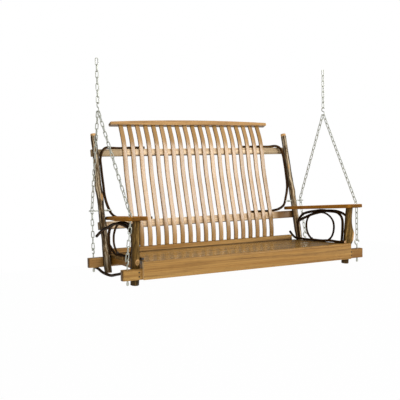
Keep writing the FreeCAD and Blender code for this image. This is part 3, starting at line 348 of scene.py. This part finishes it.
def cut_end(name, pale, dark, rim):
    """Sawn end of a stick with its growth rings."""
    make = Shader(name)
    place = make.field("straight", "Vector")
    across = make.vector("MULTIPLY", place, (1, 1, 0))
    waver = make.math("MULTIPLY", make.noise(across, (90, 90, 90), 2), 1.8)
    count = make.math("MULTIPLY", make.vector("LENGTH", across), 620)
    ring = make.math("FRACT", make.math("ADD", count, waver))
    saw = make.noise(place, (60, 900, 60), 2)
    colour = make.ramp(ring, [(0.0, dark), (0.3, pale), (0.8, pale), (1.0, dark)])
    colour = make.wash(colour, saw, 0.4, rim)
    height = make.math("ADD", make.math("MULTIPLY", ring, 0.3), saw)
    return make.surface(Base_Color=colour, Roughness=make.math("ADD", make.math("MULTIPLY", saw, 0.3), 0.4),
                        Normal=make.bump(height, 0.0004, 0.6), Coat_Weight=0.4, Coat_Roughness=0.3)


def plated(name, bright, dull, roughness):
    """Plated steel, slightly clouded."""
    make = Shader(name)
    place = (make.add("TexCoord"), "Object")
    cloud = make.noise(place, (160, 160, 160), 3, 0.6)
    speck = make.noise(place, (1400, 1400, 1400), 2, 0.6)
    colour = make.ramp(cloud, [(0.3, dull), (0.7, bright)])
    colour = make.wash(colour, speck, 0.25, dull)
    rough = make.math("ADD", make.math("MULTIPLY", cloud, 0.25), roughness)
    return make.surface(Base_Color=colour, Metallic=0.85, Roughness=rough,
                        Normal=make.bump(speck, 0.00012, 0.5))


ARM_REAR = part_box("left_arm")[1][1]
BOARD_TONES = ((206, 164, 100), (164, 118, 60), (92, 56, 22))
# Rails are painted paler than the boards, as painted light where the slats shade them; painted shade darkens
# the upper rail past the slats at both ends and the lower one at its right end.
LIGHTENED_RAIL_TONES = ((253, 228, 190), (236, 205, 162), (170, 131, 90))

oak_along = oak("oak_boards", "XZY", BOARD_TONES)
# Painted shade along pieces: the front bearer darkens at its right end, the rails past the slats, the seat
# towards the right and the arms towards their rear ends.
oak_front = oak("oak_front_bearer", "XZY", BOARD_TONES, painted_shade_along=("X", 0.7, 0.76, 0.6, (108, 68, 28)))
oak_rail = oak("oak_rails", "XZY", LIGHTENED_RAIL_TONES, painted_shade_along=("sideways", 0.536, 0.556, 0.85, (148, 124, 88)))
oak_low_rail = oak("oak_low_rail", "XZY", LIGHTENED_RAIL_TONES, painted_shade_along=("X", 0.54, 0.6, 0.92, (124, 84, 34)))
oak_seat = oak("oak_seat", "XYZ", ((212, 168, 94), (174, 131, 62), (92, 58, 20)), gloss=(0.3, 0.09),
               coat=(0.0, 0.14, 1.5), relief=0.06, painted_shade_along=("X", 0.1, 0.6, 0.42, (58, 36, 11)))
oak_rib = oak("oak_ribs", "YZX", ((180, 134, 66), (160, 112, 48), (104, 62, 16)))
oak_slat = oak("oak_slats", "ZXY", ((188, 145, 76), (168, 125, 60), (120, 80, 30)), rings=300,
               coat=(1.0, 0.25, 1.62), relief=0.2, laid_out=True)
oak_crest = oak("oak_crest", "XZY", ((194, 150, 92), (170, 126, 74), (106, 68, 28)), coat=(0.3, 0.25, 1.5))
oak_arm = oak("oak_arms", "YXZ", ((220, 152, 62), (180, 120, 42), (90, 54, 14)), gloss=(0.04, 0.4),
              coat=(0.0, 0.12, 1.5), painted_shade_along=("Y", ARM_REAR - 0.12, ARM_REAR - 0.02, 0.7, (58, 34, 6)))
rear_bark = bark("bark_rear_posts", ((20, 12, 6), (104, 83, 55), (222, 204, 172), (158, 119, 68)),
                 patches=0.5, coat=0.05, back_shade=0.9, harsh=0.8)
front_bark = bark("bark_front_posts", ((34, 23, 8), (106, 79, 36), (178, 144, 82), (134, 100, 44)),
                  patches=0.3, coat=0.05, back_shade=0.75)
twig_bark = bark("bark_twigs", ((16, 9, 4), (42, 26, 12), (100, 70, 38), (64, 40, 16)), fine=2.0,
                 patches=0.25, coat=0.0, gloss=0.05)
post_end = cut_end("post_ends", (186, 140, 84), (134, 92, 48), (96, 68, 40))
# Dark cut ends; on the left seat branch this is painted shade, where its end sits between post and apron.
dark_end = cut_end("dark_ends", (44, 32, 20), (26, 18, 10), (16, 11, 6))
twig_end = cut_end("twig_ends", (190, 142, 88), (140, 96, 52), (84, 58, 34))
zinc = plated("zinc_plate", (222, 223, 211), (158, 161, 149), 0.24)
screw_metal = plated("screw_metal", (84, 74, 58), (44, 38, 30), 0.4)

EDGE_ROUNDING = 0.0015
SEAT_EDGE_ROUNDING = 0.003
# Heights of painted shadow lines: one far away for none, one along the foot rail where it stands over the
# seat, and one just above each back rail's lower edge.
NO_SHADOW_LINE = 9.0
SEAT_SHADOW_LINE = -1.1795
SHADOW_LINE_ABOVE_RAIL_FOOT = 0.004


def set_traits(item, pith, tint, end_tone=0.0, seam=NO_SHADOW_LINE):
    """Properties that the oak reads."""
    item["pith"] = [float(value) for value in pith]
    item["tint"] = float(tint)
    item["end_tone"] = end_tone
    item["seam"] = seam


def dress(name, material, edge):
    """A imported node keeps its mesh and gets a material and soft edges."""
    item = bpy.data.objects[name]
    item.data.materials.clear()
    item.data.materials.append(material)
    if edge:
        weld = item.modifiers.new("weld", "WELD")
        weld.merge_threshold = 0.00001
        bevel = item.modifiers.new("edges", "BEVEL")
        bevel.width = edge
        bevel.segments = 2
        bevel.limit_method = "ANGLE"
        bevel.angle_limit = math.radians(40)
        bevel.harden_normals = True
    return item


def board(name, material, aside, tint, edge=EDGE_ROUNDING, **marks):
    """Oak node whose pith line lies aside from its middle, so that no two show the same figure."""
    low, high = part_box(name)
    pith = [(a + b) / 2 + shift for a, b, shift in zip(low, high, aside)]
    set_traits(dress(name, material, edge), pith, tint, **marks)


# end_tone 1 gives the apron's sawn ends painted light.
board("apron", oak_along, (2.1, 0.05, -0.012), -0.08, end_tone=1.0)
board("front_bearer", oak_front, (2.9, 0.07, 0.02), -0.11)
board("rear_bearer", oak_along, (-0.7, -0.06, 0.03), 0.02)
board("foot_rail", oak_along, (0.5, 0.06, -0.03), -0.04, seam=SEAT_SHADOW_LINE)
board("lower_back_rail", oak_low_rail, (-1.3, 0.05, 0.02), 0.0,
      seam=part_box("lower_back_rail")[0][2] + SHADOW_LINE_ABOVE_RAIL_FOOT)
board("upper_back_rail", oak_rail, (0.9, 0.06, -0.02), 0.0,
      seam=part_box("upper_back_rail")[0][2] + SHADOW_LINE_ABOVE_RAIL_FOOT)
board("crest_rail", oak_crest, (-0.4, 0.06, -0.05), 0.02)
SEAT_BOARDS = ((0.02, 0.0), (-0.03, 0.05), (0.01, -0.04), (0.035, 0.03), (-0.02, -0.02))
for number, (across, tint) in enumerate(SEAT_BOARDS):
    aside = (0.7 * number - 1.5, across, -0.06)
    board(f"seat_board_{number + 1}", oak_seat, aside, tint, SEAT_EDGE_ROUNDING)
for number, name in enumerate(("left_seat_rib", "middle_seat_rib", "right_seat_rib")):
    board(name, oak_rib, (0.05, 0.3 * number, 0.02), -0.05)
board("left_arm", oak_arm, (0.03, 0.4, -0.05), 0.0, edge=0)
board("right_arm", oak_arm, (-0.03, -0.6, -0.05), 0.0, edge=0)
for name in ("front_bridle_chains", "rear_bridle_chains", "top_chains", "hanging_links", "s_hooks",
             "pigtail_hooks", "hook_nuts"):
    dress(name, zinc, edge=0)
dress("wood_screws", screw_metal, edge=0)


def new_piece(name, vertices, faces, materials, kinds, fields):
    """Smooth mesh object with named point fields. kinds are the faces' materials."""
    mesh = bpy.data.meshes.new(name)
    mesh.from_pydata([tuple(v) for v in vertices], [], faces)
    for material in materials:
        mesh.materials.append(material)
    mesh.polygons.foreach_set("material_index", kinds)
    mesh.polygons.foreach_set("use_smooth", [True] * len(faces))
    for field, values in fields.items():
        values = np.array(values, dtype=np.float32)
        kind, key = ("FLOAT", "value") if values.ndim == 1 else ("FLOAT_VECTOR", "vector")
        mesh.attributes.new(field, kind, "POINT").data.foreach_set(key, values.ravel())
    mesh.update()
    piece = bpy.data.objects.new(name, mesh)
    scene.collection.objects.link(piece)
    return piece


def solid_tree(name):
    return BVHTree.FromObject(bpy.data.objects[name], bpy.context.evaluated_depsgraph_get())


def smoothed(points, times):
    """Points averaged with their neighbours, the two ends held."""
    for _ in range(times):
        points[1:-1] = 0.25 * points[:-2] + 0.5 * points[1:-1] + 0.25 * points[2:]
    return points


# Slats: bent boards with rounded edges, whose grain follows the bend.
SLAT_COUNT = 19
SLAT_WIDTH = 0.030
SLAT_THICKNESS = 0.012
SLAT_ROUNDING = 0.0028
SLAT_STEP = 0.006
SLAT_TIP = 0.012
SLAT_LEVELS = 160
CLEAR_OF_SLAT = 0.1


def slat_line(name):
    """Middle line of a slat in its upright plane, from rays that meet its front and its back.

    The rays leave out the tips, which follow the slope of the levels next to them."""
    tree = solid_tree(name)
    low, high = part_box(name)
    middle = (low[0] + high[0]) / 2
    heights = np.linspace(low[2] + SLAT_TIP, high[2] - SLAT_TIP, SLAT_LEVELS)
    depths = []
    for height in heights:
        front = tree.ray_cast(Vector((middle, low[1] - CLEAR_OF_SLAT, height)), Vector((0, 1, 0)))[0]
        back = tree.ray_cast(Vector((middle, high[1] + CLEAR_OF_SLAT, height)), Vector((0, -1, 0)))[0]
        depths.append((front.y + back.y) / 2)
    depths = smoothed(np.array(depths), 20)
    ends = []
    for end, inner, height in ((0, 6, low[2]), (-1, -7, high[2])):
        slope = (depths[end] - depths[inner]) / (heights[end] - heights[inner])
        ends.append(depths[end] + slope * (height - heights[end]))
    heights = np.concatenate(([low[2]], heights, [high[2]]))
    depths = np.concatenate(([ends[0]], depths, [ends[1]]))
    lengths = np.concatenate(([0], np.cumsum(np.hypot(np.diff(heights), np.diff(depths)))))
    places = np.linspace(0, lengths[-1], int(round(lengths[-1] / SLAT_STEP)) + 1)
    return middle, np.interp(places, lengths, depths), np.interp(places, lengths, heights), places


def rounded_profile(width, thickness, radius, steps):
    """Outline of a board's cross-section, anticlockwise, with rounded corners."""
    outline = []
    for corner, (right, up) in enumerate(((1, 1), (-1, 1), (-1, -1), (1, -1))):
        for number in range(steps + 1):
            angle = math.pi / 2 * (corner + number / steps)
            outline.append((right * (width / 2 - radius) + radius * math.cos(angle),
                            up * (thickness / 2 - radius) + radius * math.sin(angle)))
    return outline


def slat(number):
    """Build one slat as rings of a rounded section, with its own figure and tint."""
    name = f"slat_{number + 1:02d}"
    middle, depths, heights, places = slat_line(name)
    outline = rounded_profile(SLAT_WIDTH, SLAT_THICKNESS, SLAT_ROUNDING, 4)
    size = len(outline)
    lean = np.gradient(depths, places)
    rise = np.gradient(heights, places)
    vertices, straight, faces = [], [], []
    last = len(places) - 1
    for ring, place in enumerate(places):
        shrink = 0.9 if ring in (0, last) else 1.0
        length = math.hypot(lean[ring], rise[ring])
        back, up = rise[ring] / length, -lean[ring] / length
        for across, deep in outline:
            vertices.append((middle + shrink * across, depths[ring] + shrink * deep * back,
                             heights[ring] + shrink * deep * up))
            straight.append((across, deep, float(place)))
    for ring in range(last):
        for corner in range(size):
            a, b = ring * size + corner, ring * size + (corner + 1) % size
            faces.append((a, b, b + size, a + size))
    faces.append(tuple(reversed(range(size))))
    faces.append(tuple(last * size + corner for corner in range(size)))
    piece = new_piece(name + "_bent", vertices, faces, [oak_slat], [0] * len(faces), {"straight": straight})
    pith = (0.02 * math.sin(number * 2.399), 0.03 + 0.02 * math.sin(number * 1.7), 0.37 * number - 3)
    set_traits(piece, pith, 0.14 * math.sin(number * 4.1))
    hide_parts(name)
    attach(piece, "seat")


for number in range(SLAT_COUNT):
    slat(number)


# Sticks: each bark-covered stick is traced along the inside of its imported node.
LOOKS_ROUND = 20
FEWEST_HITS = 9
MOST_POINTS = 900
NOT_ALONG_ANY_STICK = (0.31, 0.22, 0.92)


def perpendicular(tangent, guide):
    """Two directions at right angles to a tangent, the first as near as possible to a guide."""
    across = guide - guide.dot(tangent) * tangent
    across.normalize()
    return across, tangent.cross(across)


def fit_circle(points):
    """Centre and radius of the circle through points in a plane."""
    points = np.array(points)
    table = np.column_stack((2 * points, np.ones(len(points))))
    answer = np.linalg.lstsq(table, (points ** 2).sum(axis=1), rcond=None)[0]
    return answer[:2], math.sqrt(max(answer[2] + answer[0] ** 2 + answer[1] ** 2, 0))


def walls_around(tree, centre, across, other, radius):
    """Points of the surface round a centre, in the plane of two directions."""
    hits = []
    for turn in range(LOOKS_ROUND):
        angle = turn * math.tau / LOOKS_ROUND
        direction = math.cos(angle) * across + math.sin(angle) * other
        distance = tree.ray_cast(centre, direction, 2.2 * radius)[3]
        if distance is not None and 0.35 * radius < distance < 1.7 * radius:
            hits.append((distance * math.cos(angle), distance * math.sin(angle)))
    return hits


def trace(tree, start, heading, radius, step):
    """Middle line of a bent stick, found by looking outwards from inside it, a step at a time to its end.

    The centre moves only to a circle of about the stick's radius, so that joints don't pull it aside."""
    tangent = heading.normalized()
    guide = Vector(NOT_ALONG_ANY_STICK)
    centre = start + tangent * step * 0.6
    line = [start.copy()]
    while len(line) < MOST_POINTS:
        across, other = perpendicular(tangent, guide)
        hits = walls_around(tree, centre, across, other, radius)
        if len(hits) < FEWEST_HITS:
            break
        middle, found = fit_circle(hits)
        near = [hit for hit in hits if abs(math.dist(hit, middle) - found) < 0.12 * radius]
        if len(near) >= FEWEST_HITS:
            middle, found = fit_circle(near)
        if 0.85 * radius < found < 1.15 * radius:
            centre = centre + float(middle[0]) * across + float(middle[1]) * other
        line.append(centre)
        tangent = (0.5 * tangent + (line[-1] - line[-2]).normalized() * 0.5).normalized()
        centre = centre + tangent * step
    end = tree.ray_cast(line[-1], tangent, 3 * step)
    if end[0] is not None:
        line.append(end[0])
    return line


def lengthened(line, reach):
    """The same line, drawn on past both ends."""
    first = line[0] + (line[0] - line[1]).normalized() * reach
    last = line[-1] + (line[-1] - line[-2]).normalized() * reach
    return [first] + line + [last]


def even_line(line, step):
    """The same line, smoothed and divided evenly."""
    points = smoothed(np.array([list(p) for p in line]), 6)
    lengths = np.concatenate(([0], np.cumsum(np.linalg.norm(np.diff(points, axis=0), axis=1))))
    count = max(int(round(lengths[-1] / step)), 8)
    places = np.linspace(0, lengths[-1], count + 1)
    return np.column_stack([np.interp(places, lengths, points[:, axis]) for axis in range(3)]), places


class Stick:
    """Bark-covered stick round a middle line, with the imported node's notches and its own ridges and knots.

    radius gives the stick's radius at a share of its length. A knot is (share of the length, angle, height,
    half length, half width, scar). Past the share peel the bark is gone. crooked is how far the stick sways,
    in metres."""

    def __init__(self, name, line, radius, step, sides, relief, seed, knots, peel=1.1, crooked=0.0):
        self.name = name
        self.tree = solid_tree(name)
        self.centres, self.places = even_line(line, step)
        self.total = float(self.places[-1])
        self.tangents = np.gradient(self.centres, axis=0)
        self.tangents /= np.linalg.norm(self.tangents, axis=1)[:, None]
        self.radius, self.sides, self.relief, self.seed = radius, sides, relief, seed
        self.knots, self.peel, self.crooked = knots, peel, crooked
        self.drift = Vector((seed * 3.7, seed * 1.3, seed * 5.1))
        self.vertices, self.straight, self.scars = [], [], []
        self.faces, self.kinds = [], []

    def knots_at(self, angle, place, base):
        """How far the knots raise the bark at a place, and how bare they leave the wood."""
        rise, scar = 0.0, 0.0
        for share, where, height, half_length, half_width, bare in self.knots:
            away = math.atan2(math.sin(angle - where), math.cos(angle - where)) * base / half_width
            along = (place - share * self.total) / half_length
            bell = math.exp(-away * away - along * along)
            rise += height * min(bell, 0.8)
            heart = 0.3 if bare == 1.0 and bell > 0.82 else 1.0
            scar = max(scar, heart * bare * min(max((bell - 0.6) * 9, 0), 1))
        return rise, scar

    def bark_at(self, distance, spot, angle, place, base):
        """Distance of the bark from the middle line, and how bare the wood is, outside the node's notches."""
        ridge = noise.fractal(Vector((spot.x * 150, spot.y * 150, spot.z * 14)) + self.drift, 1.0, 2.0, 3)
        swell = noise.noise(Vector((spot.x * 20, spot.y * 20, spot.z * 9)) + self.drift)
        rise, scar = self.knots_at(angle, place, base)
        distance += self.relief * ridge + 1.6 * self.relief * swell + rise
        ragged = self.peel + 0.012 * noise.noise(Vector((spot.x * 90, spot.y * 90, self.seed)))
        if place / self.total > ragged:
            return distance - 0.5 * self.relief, 1.0
        return distance, scar

    def add_ring(self, centre, across, other, place):
        """Ring of points where the node's surface is, seen from just outside the stick.

        Where something else is met, the point lies at the stick's radius. Notches stay smooth."""
        base = float(self.radius(place / self.total))
        fade = min(1.0, 8 * place / self.total, 8 * (1 - place / self.total))
        swing = [noise.noise(Vector((place * 9, 7.7 * axis, 0)) + self.drift) for axis in range(3)]
        sway = self.crooked * fade * (swing[0] * across + swing[1] * other)
        thick = 1 + 30 * self.crooked * swing[2]
        for turn in range(self.sides):
            angle = turn * math.tau / self.sides
            direction = math.cos(angle) * across + math.sin(angle) * other
            spot = Vector((base * math.cos(angle), base * math.sin(angle), place))
            found = self.tree.ray_cast(centre + 1.4 * base * direction, -direction, 1.2 * base)[3]
            distance = base if found is None else 1.4 * base - found
            if not 0.3 * base < distance < 1.03 * base:
                distance = base
            scar = 0.0
            if distance > 0.9 * base:
                distance, scar = self.bark_at(distance * thick, spot, angle, place, base)
            self.vertices.append(centre + sway + distance * direction)
            self.straight.append((spot.x, spot.y, spot.z + self.seed))
            self.scars.append(scar)

    def add_skin(self):
        """Rings along the stick, and the faces between them."""
        guide = Vector((0.0, 0.0, 1.0)) if abs(self.tangents[0][2]) < 0.8 else Vector((0.0, 1.0, 0.0))
        for centre, tangent, place in zip(self.centres, self.tangents, self.places):
            across, other = perpendicular(Vector(tangent), guide)
            guide = across
            self.add_ring(Vector(centre), across, other, float(place))
        for ring in range(len(self.centres) - 1):
            for turn in range(self.sides):
                a = ring * self.sides + turn
                b = ring * self.sides + (turn + 1) % self.sides
                self.faces.append((a, b, b + self.sides, a + self.sides))
                self.kinds.append(0)

    def add_cap(self, ring, sign):
        """Sawn end: rings that close in on the middle, slightly domed."""
        sides = self.sides
        outward = Vector(self.tangents[ring]) * sign
        centre = Vector(self.centres[ring])
        rim = self.vertices[ring * sides:(ring + 1) * sides]
        flat = self.straight[ring * sides:(ring + 1) * sides]
        previous = None
        for share, lift in ((1.0, 0.0), (0.93, 0.0007), (0.66, 0.0008), (0.33, 0.0008)):
            first = len(self.vertices)
            self.vertices += [centre + (corner - centre) * share + outward * lift for corner in rim]
            self.straight += [(x * share, y * share, z) for x, y, z in flat]
            if previous is not None:
                for turn in range(sides):
                    after = (turn + 1) % sides
                    self.add_cap_face((previous + turn, previous + after, first + after, first + turn), sign)
            previous = first
        self.vertices.append(centre + outward * 0.0008)
        self.straight.append((0.0, 0.0, flat[0][2]))
        for turn in range(sides):
            self.add_cap_face((previous + turn, previous + (turn + 1) % sides, len(self.vertices) - 1), sign)
        self.scars += [0.0] * (len(self.vertices) - len(self.scars))

    def add_cap_face(self, loop, sign):
        self.faces.append(loop if sign > 0 else loop[::-1])
        self.kinds.append(1)

    def build(self, materials):
        self.add_skin()
        self.add_cap(0, -1)
        self.add_cap(len(self.centres) - 1, 1)
        fields = {"straight": self.straight, "scar": self.scars}
        piece = new_piece(self.name + "_bark", self.vertices, self.faces, materials, self.kinds, fields)
        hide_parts(self.name)
        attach(piece, "seat")


def millimetres(x, y, z):
    return Vector((x, y, z)) / 1000


# Each bent stick's kind, first end in millimetres, heading there, radius in millimetres, the number of points
# round it, and its relief in metres.
BENT = (
    ("corner_loop", (378, 358.8, -515.8), (1, 0, 0), 8.5, 24, 0.0005),
    ("arch", (760, 250.7, -1068.3), (0, -0.917, 0.398), 9.0, 24, 0.0005),
    ("hoop", (713, 142.6, -1176.3), (0, 0.251, 0.968), 8.5, 24, 0.0005),
    ("ring", (699.8, -11.8, -1154.9), (0, 0.75, 0.66), 6.5, 20, 0.0004),
    ("seat_branch", (695, 237, -1128.3), (0, -0.791, -0.611), 8.0, 24, 0.0005),
    ("brace", (776, 254, -1262.9), (0, -1, 0), 8.5, 24, 0.0006),
)
OWN_STARTS = {
    "left_ring": ((699.8, 49.2, -1154.9), (0, 0.75, 0.66)),
    "left_seat_branch": ((695, 224, -1111.3), (0, -0.88, -0.48)),
}
SWOLLEN = ("seat_branch", "arch", "brace")
# Sticks whose cut ends are dark; for the left seat branch that is painted shade.
DARK_ENDED = ("left_seat_branch", "left_ring", "right_ring")
RING_OVERLAP = 0.009
TRACE_STEP = 0.006
BENT_STEP = 0.004
CROOKED_BENT = 0.004


def swelling(radius, more):
    """Radius along a stick that is thicker at its first end."""
    return lambda share: radius * (1 + more * math.exp(-(share / 0.3) ** 2))


def bent_stick(side_name, side, number):
    """Build one bent stick. The table holds the right side; the left one mirrors it."""
    kind, start, heading, size, sides, relief = BENT[number]
    name = f"{side_name}_{kind}"
    start, heading = OWN_STARTS.get(name, (start, heading))
    begin = millimetres(side * start[0], start[1], start[2])
    toward = Vector((side * heading[0], heading[1], heading[2]))
    line = trace(solid_tree(name), begin, toward, size / 1000, TRACE_STEP)
    if kind == "ring":
        line = lengthened(line, RING_OVERLAP)
    seed = number * 1.7 + (side + 1) * 4.3
    small_knots = [(0.13 + 0.21 * k, 1.1 + 2.1 * k + seed, 0.0013, 0.010, 0.007, 0.0) for k in range(4)]
    radius = swelling(size / 1000, 0.3 if kind in SWOLLEN else 0.1)
    stick = Stick(name, line, radius, BENT_STEP, sides, relief, seed, small_knots, crooked=CROOKED_BENT)
    stick.build((twig_bark, dark_end if name in DARK_ENDED else twig_end))


for side_name, side in (("left", -1), ("right", 1)):
    for number in range(len(BENT)):
        bent_stick(side_name, side, number)


# Each post's foot, top, radius at the foot and at the top, all in millimetres, bark, peel and knots.
# Angles of the knots: 0 is the back, a quarter turn the left, half a turn the front.
POSTS = (
    ("left_rear_post", (-728, 142.1, -1288.3), (-728, 360.4, -425.3), 23.0, 18.0, rear_bark, 0.985, (
        (0.60, 1.5, 0.0075, 0.034, 0.016, 0.0), (0.535, 3.4, 0.0015, 0.036, 0.015, 0.6),
        (0.24, 4.3, 0.003, 0.022, 0.012, 0.0), (0.83, 0.6, 0.0025, 0.018, 0.010, 0.6))),
    ("right_rear_post", (728, 142.1, -1288.3), (728, 360.4, -425.3), 23.0, 18.0, rear_bark, 0.982, (
        (0.52, 4.4, 0.004, 0.03, 0.014, 0.0), (0.72, 2.7, 0.002, 0.03, 0.008, 0.7),
        (0.3, 5.6, 0.003, 0.02, 0.012, 0.6))),
    ("left_front_post", (-741, -319.4, -1291.3), (-741, -366.5, -928.9), 24.0, 22.8, front_bark, 1.1, (
        (0.37, 3.3, 0.005, 0.026, 0.018, 1.0), (0.72, 4.9, 0.004, 0.03, 0.016, 0.0),
        (0.2, 1.3, 0.003, 0.025, 0.014, 0.0))),
    ("right_front_post", (741, -319.4, -1291.3), (741, -366.5, -928.9), 24.0, 22.8, front_bark, 1.1, (
        (0.49, 4.15, 0.022, 0.055, 0.022, 0.9), (0.78, 2.4, 0.003, 0.03, 0.014, 0.0),
        (0.12, 3.4, 0.003, 0.02, 0.012, 0.0))),
)
POST_STEP = 0.003
POST_SIDES = 60
POST_RELIEF = 0.0012
CROOKED_POST = 0.003


def tapered(foot, top):
    """Radius along a stick that narrows evenly."""
    return lambda share: foot + (top - foot) * share


for number, (name, foot, top, foot_size, top_size, material, peel, knots) in enumerate(POSTS):
    foot, top = millimetres(*foot), millimetres(*top)
    line = [foot.lerp(top, float(share)) for share in np.linspace(0, 1, 40)]
    radius = tapered(foot_size / 1000, top_size / 1000)
    stick = Stick(name, line, radius, POST_STEP, POST_SIDES, POST_RELIEF, 11.3 + 4.7 * number, knots, peel,
                  CROOKED_POST)
    stick.build((material, post_end))


FLOOR_HEIGHT = -2.6
FLOOR_REACH = 9.0


def seen_directly(make, path, reflected):
    """One for rays from the camera and through glass, and the given share for reflected rays."""
    through = make.math("MAXIMUM", (path, "Is Camera Ray"), (path, "Is Transmission Ray"))
    return make.math("MAXIMUM", through, make.math("MULTIPLY", (path, "Is Glossy Ray"), reflected))


def floor_material():
    """Pale matt floor that is nearly plain white to the camera and to reflections."""
    make = Shader("studio_floor")
    grain = make.noise((make.add("TexCoord"), "Object"), (3, 3, 3), 3)
    tone = make.ramp(grain, [(0.3, (226, 226, 224)), (0.7, (232, 232, 230))])
    plain = make.add("BsdfPrincipled", {"Base Color": tone, "Roughness": 0.85})
    white = make.add("Emission", {"Color": (1, 1, 1, 1), "Strength": 1.0})
    share = make.math("MULTIPLY", seen_directly(make, make.add("LightPath"), 1.0), 0.985)
    mixed = make.add("MixShader", {0: share, 1: (plain, "BSDF"), 2: (white, "Emission")})
    make.add("OutputMaterial", {"Surface": (mixed, "Shader")})
    return make.owner


def stage_floor():
    mesh = bpy.data.meshes.new("floor")
    corners = ((-1, -1), (1, -1), (1, 1), (-1, 1))
    vertices = [(FLOOR_REACH * x, FLOOR_REACH * y, FLOOR_HEIGHT) for x, y in corners]
    mesh.from_pydata(vertices, [], [(0, 1, 2, 3)])
    mesh.materials.append(floor_material())
    item = bpy.data.objects.new("floor", mesh)
    scene.collection.objects.link(item)


def area_light(name, place, aim, width, height, power, glossy=True):
    data = bpy.data.lights.new(name, "AREA")
    data.shape = "RECTANGLE"
    data.size = width
    data.size_y = height
    data.energy = power
    item = bpy.data.objects.new(name, data)
    item.location = place
    item.rotation_euler = (Vector(aim) - Vector(place)).to_track_quat("-Z", "Z").to_euler()
    item.visible_camera = False
    item.visible_glossy = glossy
    scene.collection.objects.link(item)


BRIGHT_SIDE = (0.52, -0.55, 0.65)
REFLECTED_WHITE = 0.5
DIMMED_BEHIND = 0.8


def studio_world():
    """White to the camera. The light that it gives is dimmer, and strongest from the front, right and above.

    Reflections see part of the white, and less of all that lies behind the bench."""
    make = Shader("studio", bpy.data.worlds)
    path = make.add("LightPath")
    direction = (make.add("TexCoord"), "Generated")
    toward = make.vector("DOT_PRODUCT", direction, BRIGHT_SIDE)
    soft = make.add("MapRange", {"Value": toward, "From Min": -0.8, "To Min": 0.1, "To Max": 0.74})
    white_share = seen_directly(make, path, REFLECTED_WHITE)
    strength = make.add("Mix", {0: white_share, 2: (soft, "Result"), 3: 1.0})
    backwards = (make.add("SeparateXYZ", {0: direction}), "Y")
    behind = make.span(backwards, -0.2, 0.5, DIMMED_BEHIND)
    left_over = make.math("SUBTRACT", 1.0, make.math("MULTIPLY", (path, "Is Glossy Ray"), behind))
    dimmed = make.math("MULTIPLY", (strength, 0), left_over)
    background = make.add("Background", {"Color": (1, 1, 1, 1), "Strength": dimmed})
    make.add("OutputWorld", {"Surface": (background, "Background")})
    scene.world = make.owner


stage_floor()
studio_world()
area_light("key", (2.576, -4.246, 1.028), (0, 0.29, -0.75), 4.2, 1.82, 166)
area_light("fill", (-2.3, -4.4, 0.1), (0, 0, -0.9), 1.8, 1.8, 52, glossy=False)
area_light("top", (-0.4, 0.2, 2.6), (0, 0, -1), 3.2, 2.4, 28)
